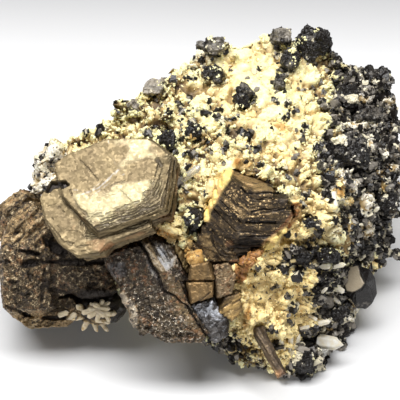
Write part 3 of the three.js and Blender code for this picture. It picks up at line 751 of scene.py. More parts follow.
def quartz_finish(look):
    """Milky quartz, stained yellow to brown by iron, with a glassy skin and painted shade"""
    finish = Finish(
        "milky_quartz",
        IOR=1.5,
        Subsurface_Weight=look.glow,
        Subsurface_Radius=(0.9, 0.84, 0.5),
        Subsurface_Scale=look.depth,
    )
    stain = finish.attribute("stain")
    dark = finish.attribute("dark")
    tint = finish.attribute("tint")
    painted_shade = finish.attribute("painted_shade")
    cloud = finish.noise(5.0, 4.0)
    colour = finish.mix((cloud - 0.5) * 1.6 + tint, look.cream, look.pale)
    grit = finish.attribute("grit")
    specks = finish.noise(0.7, 3.0, 0.7)
    grains = finish.grains(0.6)
    colour = finish.mix((grains - 0.5).between(0.1, 0.5) * grit * 0.6, colour, look.cream)
    ashen = finish.attribute("ashen") + (cloud - 0.5) * 0.8
    colour = finish.mix(ashen.between(0.3, 0.8), colour, look.ashen)
    patchy = stain + (cloud - 0.5) * 0.5
    colour = finish.mix(patchy.between(0.12, 0.45), colour, look.yellow)
    colour = finish.mix(patchy.between(0.5, 0.85), colour, look.ochre)
    colour = finish.mix((patchy - specks * 0.2).between(0.72, 1.05), colour, look.rust)
    # Painted shade: tan low down between the lumps, near black in the crevices
    colour = finish.mix(painted_shade.between(0.0, 0.5), colour, look.tan)
    colour = finish.mix(painted_shade.between(0.4, 1.0), colour, look.crevice_shade)
    colour = finish.mix((specks - 0.5).between(0.12, 0.25) * grit, colour, look.tan)
    # Small pits shown only as painted shade, in the crevice colour
    pits = finish.noise(1.1, 5.0, 0.75)
    colour = finish.mix((pits - 0.57).between(0.0, 0.04) * grit, colour, look.crevice_shade)
    colour = finish.mix(dark, colour, look.smoky)
    grain = finish.noise(0.5, 2.0) + grains * grit
    return finish.done(
        Base_Color=colour,
        Roughness=0.4 + 0.2 * grain,
        Normal=finish.bump(grain, 0.16, 0.7),
    )


def sphalerite_finish(look):
    """Black sphalerite with a resinous lustre, finely striated, grey in places: dust and painted
    sheen
    """
    finish = Finish("black_sphalerite", IOR=1.42)
    tint = finish.attribute("tint")
    dust = finish.noise(2.2, 5.0, 0.65)
    # Grey is dust and painted sheen; tan is painted sheen
    colour = finish.mix((tint + (dust - 0.5) * 1.3).between(0.4, 0.95), look.black, look.grey)
    colour = finish.mix(finish.attribute("tan"), colour, look.tan)
    patches = (finish.noise(1.8, 5.0, 0.7) - 0.5) * 2.4 + finish.attribute("frost")
    colour = finish.mix(patches.between(0.78, 0.88), colour, look.frost)
    lines = finish.noise(0.8, 2.0, place=finish.stretched((0.5, 0.3, 0.4), (6.0, 1.0, 0.28)))
    return finish.done(
        Base_Color=colour,
        Roughness=0.12 + 0.42 * dust,
        Normal=finish.bump(lines + finish.noise(0.6, 3.0) * 0.8, 0.2, 0.8),
    )


def pyrrhotite_finish(
    name, look, brown, gold, pale, rough=0.3, grain_size=0.6, depth=0.12, pitted=0.0
):
    """Bronze pyrrhotite: brown to gold on its crests, painted shade in its hollows, tarnished blue
    in places
    """
    finish = Finish(name, IOR=2.2)
    crest = finish.attribute("crest")
    # The pale share: painted reflection and highlights on the rosette and the fan, paler streaks
    # and crusts elsewhere
    light = finish.attribute("pale")
    tarnish = finish.attribute("tarnish")
    rust = finish.attribute("rust")
    shadow = finish.attribute("painted_shade")
    cloud = finish.noise(4.0, 5.0)
    flecks = finish.grains(grain_size)
    # Glints are painted highlights: pale, a little glossier flecks
    glint = (finish.grains(0.42) + finish.attribute("glint") - 1.0).between(0.0, 0.06)
    colour = finish.mix((crest + (cloud - 0.5) * 0.7).between(0.1, 0.9), brown, gold)
    colour = finish.mix((light + (cloud - 0.5) * 0.4).between(0.2, 0.8), colour, pale)
    colour = finish.mix(glint, colour, pale)
    pits = finish.noise(1.3, 6.0, 0.8)
    # Where pitted, pale flecks between the pits are painted glints
    colour = finish.mix((0.44 - pits).between(0.0, 0.05) * pitted * 0.6, colour, pale)
    colour = finish.mix((tarnish + (cloud - 0.5) * 0.5).between(0.2, 0.9), colour, look.tarnish)
    colour = finish.mix((rust + (cloud - 0.5) * 0.8).between(0.3, 0.9), colour, look.rust)
    # Painted shade in the hollows and, where pitted, in the pits
    colour = finish.mix(shadow, colour, look.shadow)
    colour = finish.mix((pits - 0.53).between(0.0, 0.05) * pitted, colour, look.shadow)
    crust = finish.attribute("crust")
    crust_colour = finish.mix((cloud - 0.47).between(0.0, 0.25), look.crust, look.crust_stain)
    colour = finish.mix(crust, colour, crust_colour)
    fine = finish.noise(0.35, 3.0)
    return finish.done(
        Base_Color=colour,
        Metallic=(0.85 - 0.4 * light) * (1.0 - crust),
        Roughness=rough + 0.25 * flecks + 0.2 * crust - 0.15 * glint,
        Normal=finish.bump(fine + flecks * 0.5 - pits * (2.5 * pitted), depth, 0.6),
    )


def dress(name, ending, slot, carve, material, look, **finish):
    """Carves a pyrrhotite solid anew and gives it a finish; the druse keeps clear of it"""
    node = "pyrrhotite_" + name
    made[name] = carved(merged(node), VOXELS[name], carve)
    material = pyrrhotite_finish(material, look, **finish)
    link(node + ending, made[name], material, slot, node)


def clear_finish(name, look, clarity):
    """Clear to milky quartz with faint veils"""
    finish = Finish(name, IOR=1.54, Transmission_Weight=clarity)
    veil = finish.noise(2.0, 4.0)
    dusty = finish.mix(clarity, look.cream, look.veil)
    return finish.done(
        Base_Color=finish.mix(veil.between(0.35, 0.7), look.glass, dusty),
        Roughness=0.06 + (0.4 - 0.4 * clarity) + 0.1 * veil,
        Normal=finish.bump(finish.noise(0.8, 2.0), 0.05, 0.5),
    )


def swatch(name, description, value):
    return bpy.props.FloatVectorProperty(
        name=name, description=description, subtype="COLOR", size=3, min=0, max=1, default=value
    )


def amount(name, description, value, unit="NONE"):
    return bpy.props.FloatProperty(name=name, description=description, default=value, unit=unit)


class QuartzLook(bpy.types.PropertyGroup):
    cream: swatch("Cream", "Quartz away from stains", (0.73, 0.595, 0.31))
    pale: swatch("Pale", "The palest quartz", (0.875, 0.84, 0.47))
    yellow: swatch("Yellow", "Quartz in a thin stain", (0.95, 0.75, 0.36))
    ochre: swatch("Ochre", "Quartz in a stain", (0.54, 0.29, 0.075))
    rust: swatch("Rust", "Quartz in a deep stain", (0.24, 0.095, 0.025))
    # Tan and crevice are the colours of painted shade between the lumps and the crystals; tan also
    # colours small specks
    tan: swatch("Tan", "Low down between the lumps", (0.40, 0.27, 0.10))
    crevice_shade: swatch("Crevice", "Between the crystals", (0.06, 0.033, 0.016))
    smoky: swatch("Smoky", "Quartz in the dark fields", (0.035, 0.028, 0.022))
    ashen: swatch("Ashen", "Quartz without any yellow", (0.80, 0.74, 0.60))
    glass: swatch("Glass", "Clear quartz", (0.93, 0.92, 0.88))
    veil: swatch("Veil", "Milky veils in clear quartz", (0.95, 0.93, 0.85))
    glow: amount("Glow", "Share of light that passes through milky quartz", 0.25)
    depth: amount("Depth", "How far light passes in it", 0.0012, "LENGTH")
    points: bpy.props.IntProperty(
        name="Points", description="Number of small crystals in the druse", default=13000, min=100
    )


class PyrrhotiteLook(bpy.types.PropertyGroup):
    tarnish: swatch("Tarnish", "Blue-grey tarnish", (0.42, 0.43, 0.46))
    rust: swatch("Rust", "Rusty patches", (0.32, 0.13, 0.05))
    shadow: swatch("Shadow", "Deepest hollows", (0.02, 0.014, 0.01))
    crust: swatch("Crust", "Thin quartz crust on pyrrhotite", (0.88, 0.66, 0.18))
    crust_stain: swatch("Crust stain", "Stains in that crust", (0.45, 0.20, 0.04))


class SphaleriteLook(bpy.types.PropertyGroup):
    black: swatch("Black", "Clean faces", (0.009, 0.007, 0.006))
    # Grey stands for dust and for painted sheen on the faces; tan is painted sheen on a flat face
    grey: swatch("Grey", "Dusted faces", (0.24, 0.215, 0.18))
    frost: swatch("Frost", "Patches of quartz dust", (0.66, 0.60, 0.44))
    tan: swatch("Tan", "The flat face of the large crystal at the right", (0.42, 0.35, 0.25))
    grains: bpy.props.IntProperty(
        name="Grains", description="Number of small crystals in the dark fields", default=12000
    )


class StageLook(bpy.types.PropertyGroup):
    floor: swatch("Floor", "The table under the specimen", (0.66, 0.66, 0.665))
    # The far floor is painted shade: the table painted darker behind the specimen
    shaded_far_floor: swatch("Far floor", "The table far behind it", (0.31, 0.31, 0.315))
    key: amount("Key", "Power overhead", 8.6, "POWER")
    fill: amount("Fill", "Power in front", 2.2, "POWER")
    ambient: amount("Ambient", "Light from all round", 0.055)


# The size in mm of the squares that the pieces' surfaces are made anew in
VOXELS = {
    "matrix": 0.5,
    "rosette": 0.32,
    "fan": 0.2,
    "slab": 0.38,
    "left_mass": 0.36,
    "block_upper": 0.3,
    "block_lower": 0.3,
    "block_rough": 0.3,
    "block_gold": 0.28,
    "crust": 0.32,
    "rods": 0.26,
    "blade": 0.3,
    "large_crystal": 0.2,
    "knot": 0.28,
    "spray": 0.24,
}
# The pieces that the druse keeps clear of
BARE = ("rosette", "fan", "slab", "left_mass", "rods", "block_upper", "block_lower")
BARE += ("block_rough", "block_gold", "crust", "blade")

SPHALERITE_NODES = [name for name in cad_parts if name.startswith("sphalerite_")]
CLEAR_NODES = [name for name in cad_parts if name.startswith("quartz_crystal_")]

# Meshes and materials that later steps use
made = {}


def stain_at(seen, points):
    """How far the quartz is stained at points of its surface"""
    wobble = 0.45 * fractal(points, 3.5, 41)
    spots = blots(seen, STAINS, wobble, 0.45)
    margin = 1.25 * beside(seen, STAINED_MARGIN, 8, 3 * wobble)
    ragged = 5 * wobble
    tongues = [share * within(seen, line, 3, ragged) for line, share in STAINED_TONGUES]
    warm = 0.44 * within(seen, WARM_FIELD, 12, 12 * wobble)
    veins = 0.3 * smoothstep(0.9, 0.99, 1 - np.abs(fractal(points, 12, 57)))
    most = np.maximum.reduce([spots, margin, warm, *tongues])
    return np.clip(most + 0.5 * veins * (most < 0.4), 0, 1.1)


def ashen_at(seen, points):
    """How far the quartz is without any yellow at points of its surface"""
    return blots(seen, ASHEN, 0.4 * fractal(points, 6.0, 61), 0.5)


def calm_at(seen, points):
    """How smooth and massive the quartz is at points of its surface"""
    return blots(seen, CALM, 0.3 * noise(points, 4.0, 95), 0.4)


def darkness_at(seen, points):
    """How far the druse is crowded with black crystals at points of its surface"""
    wobble = fractal(points, 4.0, 71)
    share = np.zeros(len(seen))
    for outline, strength in DARK_FIELDS:
        share = np.maximum(share, strength * within(seen, outline, 4, 5 * wobble))
    clear = blots(seen, PALE_SPOTS, 0.25 * wobble, 0.25)
    return share * (1 - clear)


def warped(points, size, reach, seed):
    """The points pushed about by noise, so that patterns on them run unevenly"""
    return points + reach * np.column_stack([noise(points, size, seed + k) for k in range(3)])


def mounds_at(points):
    """Heights of the druse's mounds, and how near points are to the clefts between them"""
    uneven = warped(warped(points, 5.0, 1.2, 81), 1.6, 0.45, 91)
    _, step, kinds, _ = cells(uneven, 6.5, 5)
    _, small_step, small, _ = cells(uneven, 3.0, 15)
    _, tiny_step, tiny, _ = cells(uneven, 1.5, 25)
    seen = pixels(points)
    calm = calm_at(seen, points)
    gaps = smoothstep(0.3, 0.05, step) * (kinds[:, 1] > 0.25)
    gaps = np.maximum(gaps, smoothstep(0.28, 0.06, small_step) * (small[:, 1] > 0.4))
    gaps *= 1 - 0.85 * calm
    crown = np.sqrt(np.clip(step, 0, 1))
    large = 1.6 * fractal(points, 12, 3) + 2.4 * crown - 1.5 + 2.2 * (kinds[:, 0] - 0.5)
    medium = 1.5 * np.sqrt(np.clip(small_step, 0, 1)) - 0.6 + 1.4 * (small[:, 0] - 0.5)
    minute = 0.8 * np.clip(tiny_step, 0, 1) + 0.7 * (tiny[:, 0] - 0.5)
    heights = large * (1 - 0.3 * calm) + medium * (1 - 0.5 * calm) + minute * (1 - 0.65 * calm)
    heights += 2.0 * blots(seen, PALE_SPOTS, 0.25 * noise(points, 3.0, 97), 0.3)
    heights += drawn(seen, RAISED, 3 * noise(points, 3.0, 98))
    return heights - 1.1 * gaps - 0.4, gaps


class SPECIMEN_OT_matrix(bpy.types.Operator):
    """The quartz matrix: mounds of druse in front, broken rock behind"""

    bl_idname = "specimen.matrix"
    bl_label = "Quartz Matrix"

    kept = 0.52  # the share of the triangles that are left, most of them in front
    recess = [(196, 256, 11, 16, 0, 1.0)]  # a hollow in shade, left of the bent bundle

    def execute(self, context):
        mesh = carved(merged("quartz_matrix"), VOXELS["matrix"], self.carve, smooth=True)
        behind = smoothstep(0.1, -0.3, normals_of(mesh)[:, 2])
        mesh = thinned(mesh, behind, self.kept)
        made["matrix"] = mesh
        made["quartz"] = quartz_finish(context.scene.quartz_look)
        link("quartz_matrix_rock", mesh, made["quartz"], "quartz", "quartz_matrix")
        return {"FINISHED"}

    def carve(self, points, normals):
        front = smoothstep(-0.25, 0.25, normals[:, 2] + 0.02 * (points[:, 2] + 22))
        mounds, gaps = mounds_at(points)
        broken = 2.2 * facets(points, 11, 13) + 1.0 * facets(points, 4.5, 17)
        broken += 0.4 * facets(points, 2.0, 18) + 0.4 * fractal(points, 2.5, 19)
        broken *= smoothstep(0.0, 5.0, to_world(points)[:, 2] / MM)
        crystals = 0.4 * facets(points, 1.5, 9)
        heights = front * (mounds + crystals) + (1 - front) * broken - 0.25
        seen = pixels(points)
        ahead = normals[:, 2] > -0.2
        # In the warm field the quartz gets painted light: a paler tint and less painted shade
        warm = within(seen, WARM_FIELD, 10)
        lit = 1 - 0.6 * warm
        stain = np.where(ahead, stain_at(seen, points), 0.15 + 0.5 * fractal(points, 12, 23))
        patches = smoothstep(0.1, 0.45, fractal(points, 10, 29) + 0.3 * facets(points, 2.0, 18))
        dark = np.where(ahead, darkness_at(seen, points), patches)
        # Painted shade in the clefts between the mounds, low down on them and in the recess
        painted_shade = np.clip(front * 0.5 * gaps + smoothstep(-0.5, -2.8, heights) * 0.5, 0, 1)
        painted_shade += 0.2 * blots(seen, self.recess, 0.5 * noise(points, 2.0, 33))
        return heights, {
            "stain": stain,
            "dark": np.clip(0.75 * dark, 0, 1),
            "painted_shade": lit * painted_shade,
            # The tint is paler on the crests of the mounds, as painted light
            "tint": 0.85 + 0.3 * noise(points, 2.5, 31) + 0.22 * heights + 0.4 * warm,
            "ashen": np.where(ahead, ashen_at(seen, points), 0.7),
            "grit": 1 - 0.8 * calm_at(seen, points),
        }


# The parts of the top plate given painted reflection
PLATE_REFLECTION = [
    [(76, 196), (100, 198), (114, 186), (150, 181), (146, 200), (118, 208), (104, 221), (90, 221)],
    [(122, 164), (133, 160), (152, 156), (150, 136), (128, 128), (114, 134), (127, 150)],
]
BROWN_PLATE = [
    [(58, 153), (70, 148), (84, 141), (100, 139), (105, 165), (100, 184), (72, 183), (60, 178)],
    [(130, 166), (150, 157), (152, 179), (126, 181)],
    [(121, 138), (126, 136), (130, 147), (126, 158), (120, 157)],
    [(46, 206), (60, 202), (84, 228), (96, 244), (72, 242), (52, 226)],
]
BLUE_STREAKS = [
    ([(108, 140), (111, 152), (116, 166)], 1.3, 0.8),
    ([(112, 142), (116, 156), (120, 170)], 1.0, 0.6),
    ([(120, 168), (110, 178), (98, 188), (80, 195)], 1.6, 0.9),
    ([(124, 174), (108, 184), (92, 196)], 1.2, 0.7),
    ([(74, 190), (90, 190), (100, 183)], 1.4, 0.8),
    ([(100, 176), (112, 176), (104, 190)], 6.0, 0.35),
    ([(96, 146), (104, 158), (112, 172)], 5.0, 0.2),
]
# Cracks and the dark edges of steps, cut in and given painted shade: points, half width and depth
PLATE_LINES = [
    ([(60, 197), (70, 208), (80, 217), (89, 229)], 1.3, 1.0),
    ([(70, 190), (73, 198), (79, 208), (86, 214), (90, 222)], 0.8, 0.6),
    ([(107, 214), (118, 210), (125, 206), (134, 203), (142, 200)], 0.8, 0.8),
    ([(117, 214), (122, 217), (132, 215), (144, 209), (151, 208)], 0.8, 0.9),
    ([(90, 229), (100, 225), (112, 224), (124, 222), (140, 218), (158, 212)], 1.1, 0.9),
    ([(126, 212), (134, 211), (142, 205), (150, 204)], 0.8, 0.7),
    ([(92, 235), (104, 229), (120, 228), (142, 223)], 0.9, 0.6),
    ([(150, 197), (153, 184), (157, 170), (159, 160)], 0.8, 0.8),
    ([(154, 200), (158, 186), (161, 173), (163, 162)], 0.7, 0.6),
    ([(161, 205), (165, 190), (168, 178), (171, 166)], 0.8, 0.8),
    ([(166, 207), (170, 192), (172, 180)], 0.7, 0.6),
    ([(147, 201), (143, 193), (150, 190), (151, 181)], 0.8, 0.7),
    ([(158, 160), (161, 165)], 2.4, 1.0),
    ([(44, 218), (52, 227), (58, 235), (62, 241), (74, 243)], 0.6, 0.5),
    ([(52, 218), (58, 227), (66, 236)], 0.4, 0.3),
    ([(56, 243), (66, 242), (76, 247), (90, 245)], 0.6, 0.5),
    ([(60, 232), (70, 230), (80, 232), (84, 238)], 0.5, 0.35),
    ([(64, 248), (74, 252), (88, 250)], 0.5, 0.5),
    ([(48, 206), (56, 204), (64, 212)], 0.4, 0.3),
    ([(80, 160), (88, 168), (98, 180)], 0.4, 0.35),
    ([(126, 181), (116, 183), (104, 190)], 0.4, 0.3),
    ([(120, 190), (128, 198), (134, 204)], 0.4, 0.3),
]
# The edge where many thin layers of the top plate come out
STACKED_EDGE = [(92, 227), (112, 222), (132, 218), (152, 208), (162, 200), (168, 180), (172, 164)]
PLATE_NOTCH = [(44, 190), (50, 182), (57, 181), (65, 182), (68, 185), (63, 188)]
PLATE_NOTCH += [(54, 188), (47, 192)]
STEPPED_EDGE = np.array([(148, 218), (158, 158)])
RUSTY_PLATE = [(103, 243, 22, 7, 15, 1.0), (66, 222, 10, 8, 0, 0.5)]


class SPECIMEN_OT_rosette(bpy.types.Operator):
    """The large rosette: terraces on its top, laminae down its edges"""

    bl_idname = "specimen.rosette"
    bl_label = "Pyrrhotite Rosette"

    centre = np.array([-25.5, 4, 20])
    turn = turned([-20, -8, 0])

    def execute(self, context):
        dress(
            "rosette",
            "_plates",
            "bronze_pyrrhotite",
            self.carve,
            "bronze_plate",
            context.scene.pyrrhotite_look,
            brown=(0.135, 0.097, 0.048),
            gold=(0.22, 0.165, 0.081),
            pale=(0.385, 0.32, 0.16),
            rough=0.45,
            grain_size=0.8,
            depth=0.07,
        )
        return {"FINISHED"}

    def carve(self, points, normals):
        local = (points - self.centre) @ self.turn
        facing = normals @ self.turn
        seen = pixels(points)
        wobble = fractal(points, 5.0, 201)
        ragged = fractal(points, 1.6, 205)
        top = smoothstep(0.55, 0.9, facing[:, 2])
        flat = local * (1, 1, 0.0)
        laminae = fractal(local * (0.12, 0.12, 1.0), 0.7, 203, 2)
        terraces = 0.10 * np.round(2.2 * fractal(flat, 14, 207)) / 2
        lines = drawn(seen, PLATE_LINES, 0.9 * ragged + 0.7 * fractal(points, 0.8, 206))
        lines *= top * smoothstep(-0.7, 0.1, fractal(points, 1.8, 208))
        inward = away_from(seen, STACKED_EDGE) + 2.5 * wobble
        phase = inward / 2.6 + 0.7 * ragged
        stacked = smoothstep(15, 9, inward) * smoothstep(-0.4, 0.1, fractal(points, 3.5, 210))
        # The risers of the stacked edge get painted shade
        risers = stacked * smoothstep(0.4, 0.1, np.abs(phase - np.round(phase)))
        lines = np.maximum(lines, 0.85 * top * risers)
        brown = np.maximum.reduce([within(seen, o, 4, 4 * wobble) for o in BROWN_PLATE])
        pale = np.maximum.reduce([within(seen, o, 7, 7 * wobble) for o in PLATE_REFLECTION])
        blue = drawn(seen, BLUE_STREAKS, 1.5 * wobble + 1.2 * ragged)
        start, end = STEPPED_EDGE
        along = (end - start) / np.linalg.norm(end - start)
        past = np.clip(right_of(seen - start, along), 0, 9) * smoothstep(226, 214, seen[:, 1])
        past *= smoothstep(154, 164, seen[:, 1])
        # Below the stacked edge the top plate gets painted shade: less gold, less pale, darker
        below = smoothstep(-4, 6, (seen[:, 1] - 226) + 0.42 * (seen[:, 0] - 92))
        below *= smoothstep(88, 98, seen[:, 0])
        mottle = 0.5 * ragged + 0.5 * fractal(points, 3.0, 209)
        heights = top * (terraces - 0.06 * brown + 0.09 * fractal(flat, 2.6, 211))
        heights += (1 - top) * 0.9 * laminae - 0.35 * lines
        heights -= top * 0.34 * past
        heights += 0.03 * top * facets(points, 1.3, 212)
        rim = smoothstep(-3.2, -4.4, local[:, 2])
        heights += top * rim * 0.4 * fractal(local * (0.35, 1, 0.1), 1.3, 213)
        crest = 0.62 + 0.5 * laminae * (1 - top) - 0.3 * brown + 0.35 * mottle
        crest -= 0.15 * below * top
        # Painted shade low between the laminae down the edges; the notch and the dark lines get it
        # too
        painted_shade = (1 - top) * smoothstep(0.1, -0.6, laminae)
        notch = within(seen, PLATE_NOTCH, 1.5, 2 * ragged)
        # Painted reflection on the top plate
        painted_reflection = top * np.clip(pale + 0.4 * mottle - 0.6 * brown, 0, 1) * (1 - rim)
        rust = 0.1 + 0.3 * fractal(points, 7, 217) - 0.1 * top + 0.2 * rim
        return heights - 1.5 * notch * top, {
            "crest": crest,
            "pale": painted_reflection * (1 - 0.6 * below) + 0.5 * top * stacked * (1 - risers),
            "tarnish": top * 0.5 * blue * smoothstep(-0.8, 0.3, ragged),
            "rust": rust + 0.4 * blots(seen, RUSTY_PLATE, wobble),
            "painted_shade": np.clip(0.85 * painted_shade + notch + 0.7 * lines + 0.12 * below * top, 0, 1),
        }


FAN_CAP = [(231, 174), (240, 170), (250, 173), (266, 183), (275, 191), (256, 191), (246, 186)]
FAN_CRUST = [(228, 166), (234, 172), (230, 180), (223, 190), (216, 202), (210, 213), (209, 221)]
FAN_CRUST += [(200, 221), (204, 206), (212, 192), (218, 180)]
# Stained quartz over the lower right corner of the fan
FAN_CORNER = [(258, 252), (266, 241), (276, 233), (286, 224), (293, 214), (300, 222), (284, 250)]
FAN_STRIPES = [(199, 236), (210, 232), (218, 252), (211, 260), (204, 252)]
# Painted highlights on the fan's upper middle; hollows lower down, cut in and given painted shade
FAN_HIGHLIGHTS = [(240, 205, 26, 15, -35, 1.0), (262, 198, 20, 9, 0, 0.5)]
FAN_SHADED_HOLLOWS = [(247, 248, 16, 12, 20, 1.0), (230, 265, 18, 3, 0, 0.8)]
FAN_RUST = [(230, 244, 7, 5, 0, 0.5), (236, 262, 8, 3, 0, 0.55)]
FAN_LINES = [
    ([(246, 222), (258, 222), (275, 222)], 1.0, 1.0),
    ([(252, 212), (264, 209), (276, 211), (292, 207)], 1.0, 1.0),
    ([(240, 237), (254, 236), (270, 237)], 1.3, 1.0),
    ([(241, 188), (246, 193), (252, 194)], 1.0, 0.9),
    ([(258, 194), (272, 193), (286, 192)], 1.0, 0.8),
    ([(256, 200), (266, 198), (284, 201)], 0.7, 0.7),
    ([(213, 208), (222, 218), (236, 232)], 0.7, 0.7),
    ([(220, 200), (232, 212), (242, 224)], 0.7, 0.6),
    ([(211, 236), (214, 246), (221, 256)], 0.9, 0.9),
]


class SPECIMEN_OT_fan(bpy.types.Operator):
    """The bent bundle: thin laminae, folded along one crease"""

    bl_idname = "specimen.fan"
    bl_label = "Pyrrhotite Fan"

    crease_top = (256, 191)
    crease_slope = -0.47
    lean = math.radians(43)

    def execute(self, context):
        dress(
            "fan",
            "_laminae",
            "bronze_pyrrhotite",
            self.carve,
            "bronze_laminae",
            context.scene.pyrrhotite_look,
            brown=(0.052, 0.033, 0.015),
            gold=(0.42, 0.28, 0.12),
            pale=(0.75, 0.52, 0.25),
            rough=0.42,
            grain_size=0.5,
            depth=0.06,
            pitted=0.8,
        )
        return {"FINISHED"}

    def carve(self, points, normals):
        seen = pixels(points)
        wobble = fractal(points, 4.0, 301)
        fold = self.crease_top[0] + self.crease_slope * (seen[:, 1] - self.crease_top[1])
        level = np.minimum(seen[:, 0], fold)
        stack = (seen[:, 1] * math.cos(self.lean) - level * math.sin(self.lean)) * PIXEL
        stack += 0.5 * wobble + 0.12 * fractal(points, 1.2, 302)
        line = np.column_stack([stack, 0.13 * points[:, 0], 0.13 * points[:, 2]])
        thin = noise(line, 0.42, 303) + 0.7 * noise(line, 0.24, 305)
        thick = noise(line, 1.5, 307)
        broken = 0.6 + 0.6 * fractal(points, 2.2, 308)
        cap = within(seen, FAN_CAP, 1.2, 2 * wobble)
        stripes = within(seen, FAN_STRIPES, 1.5)
        calm = np.maximum(cap, 0.6 * stripes)
        lines = drawn(seen, FAN_LINES, 0.8 * wobble) * (1 - cap)
        crust = within(seen, FAN_CRUST, 1.5, 2 * wobble)
        crust = np.maximum(crust, within(seen, FAN_CORNER, 1.5, 3 * wobble))
        calm = np.maximum(calm, crust)
        edge = beside(seen, FAN_CORNER[:5], 2.6, 1.5 * wobble)
        crust *= 1 - 0.6 * edge
        heights = (1 - calm) * (0.2 * thin * broken + 0.3 * thick) + 0.15 * wobble - 0.4 * lines
        heights += crust * (0.5 + 0.4 * fractal(points, 2.0, 310) + 0.2 * facets(points, 0.9, 314))
        heights += 0.12 * (1 - calm) * facets(points, 0.9, 312)
        # Painted highlights: more gold, pale and glints where the fan is bright
        bright = blots(seen, FAN_HIGHLIGHTS, wobble)
        kinds = lots(points, 0.7, 309)
        glint = (kinds[:, 0] > 0.8) * smoothstep(0.2, 1.0, thin)
        deep = blots(seen, FAN_SHADED_HOLLOWS, 0.4 * wobble)
        crest = 0.08 + (0.22 + 0.45 * bright) * smoothstep(-0.3, 1.1, thin * broken)
        # Painted shade low between the laminae, in the dark lines and in the hollows
        painted_shade = 0.75 * smoothstep(0.3, -1.0, thin) * (1 - calm) + lines + 0.8 * deep
        return heights - 0.9 * deep, {
            "crest": crest + 0.75 * cap + 0.3 * stripes + 0.1 * thick,
            "pale": 0.2 * cap + 0.5 * glint * bright,
            "glint": (0.04 + 0.12 * bright) * (1 - calm),
            "tarnish": 0.1 + 0.2 * wobble,
            "rust": blots(seen, FAN_RUST, wobble) + 0.6 * edge,
            "painted_shade": np.clip(painted_shade, 0, 1) * (1 - crust),
            "crust": crust,
        }


SLAB_RIDGE = [(122, 296), (131, 304), (135, 314), (134, 325)]
SLAB_GROOVE = [(138, 240), (147, 254), (152, 266), (158, 275), (163, 291), (174, 296), (180, 302)]
SLAB_GROOVE += [(187, 306), (193, 316), (203, 331), (208, 338)]
SLAB_STRIP = [(158, 270), (184, 280), (182, 300), (196, 322), (206, 338), (190, 330), (170, 298)]
# A worn gold edge, pale blue tarnish beside it, and a thin crack across that
SLAB_STREAK = [(145, 241), (149, 250), (154, 260), (162, 269)]
SLAB_BLUE = [(154, 243), (166, 247), (176, 258), (172, 266), (166, 270), (158, 260)]
SLAB_CRACK = [(159, 246), (167, 257), (174, 268), (183, 286)]
SLAB_TARNISH = [(117, 268, 12, 9, 0, 0.8), (154, 272, 3, 14, 30, 0.8)]
SLAB_SPECKLED = [(172, 240), (188, 246), (190, 276), (180, 280), (166, 270), (176, 260)]


class SPECIMEN_OT_slab(bpy.types.Operator):
    """The dark slab under the rosette: a granular, glittering crust with a worn gold ridge"""

    bl_idname = "specimen.slab"
    bl_label = "Pyrrhotite Slab"

    def execute(self, context):
        dress(
            "slab",
            "_crust",
            "dark_pyrrhotite",
            self.carve,
            "dark_crust",
            context.scene.pyrrhotite_look,
            brown=(0.036, 0.027, 0.018),
            gold=(0.29, 0.20, 0.095),
            pale=(0.66, 0.58, 0.46),
            rough=0.3,
            grain_size=0.7,
            depth=0.15,
            pitted=1.1,
        )
        return {"FINISHED"}

    def carve(self, points, normals):
        seen = pixels(points)
        wobble = fractal(points, 5.0, 401)
        lower = smoothstep(280, 318, seen[:, 1] + 8 * wobble)
        strip = within(seen, SLAB_STRIP, 3, 4 * wobble)
        coarse = facets(points, 1.5, 403)
        fine = facets(points, 0.8, 405)
        rough = 1 - 0.65 * strip
        heights = rough * ((0.25 + 0.3 * lower) * coarse + (0.15 + 0.16 * lower) * fine)
        heights += 0.5 * fractal(points, 6, 407)
        ridge = beside(seen, SLAB_RIDGE, 4, 1.5 * wobble)
        groove = beside(seen, SLAB_GROOVE, 1.3, 0.8 * wobble)
        kinds = lots(points, 0.8, 409)
        glint = (0.012 + 0.12 * lower) * (1 - strip)
        blue = blots(seen, SLAB_TARNISH, wobble)
        side = right_of(seen, (0.55, 0.83))
        lines = noise(np.column_stack([side, 0.02 * seen[:, 1], 0 * side]), 0.5, 411)
        silver = within(seen, SLAB_BLUE, 2, 2 * wobble)
        streak = beside(seen, SLAB_STREAK, 3.4, 1.2 * wobble)
        speckled = within(seen, SLAB_SPECKLED, 2, 2 * wobble)
        groove = np.maximum(groove, beside(seen, SLAB_CRACK, 0.5))
        calm = np.maximum(silver, streak)
        heights = heights * (1 - 0.6 * calm) + 0.3 * calm * lines + 0.4 * streak
        silvery = silver * smoothstep(-0.9, 0.4, lines + fractal(points, 1.2, 413))
        speck = speckled * (kinds[:, 0] > 0.72)
        crest = np.clip(0.2 + 0.3 * lower * kinds[:, 1] + 0.3 * strip, 0, 1)
        # Painted shade low between the grains and in the groove and the crack
        painted_shade = 0.8 * smoothstep(0.35, -0.6, coarse) * rough * (1 - calm) + 0.9 * groove
        return heights + 0.8 * ridge - 0.7 * groove, {
            "crest": crest + ridge + streak + 0.5 * speck,
            "pale": 0.45 * ridge + (0.3 + 0.2 * lines) * streak + 0.9 * silvery + 0.6 * speck,
            "glint": glint * (1 - calm),
            "tarnish": 0.15 * (kinds[:, 2] - 0.3) + 0.15 * lower + 0.45 * blue + 0.75 * silvery,
            "rust": (0.22 + 0.6 * (kinds[:, 1] - 0.5) + 0.3 * wobble) * (1 - calm),
            "painted_shade": np.clip(painted_shade, 0, 1),
        }


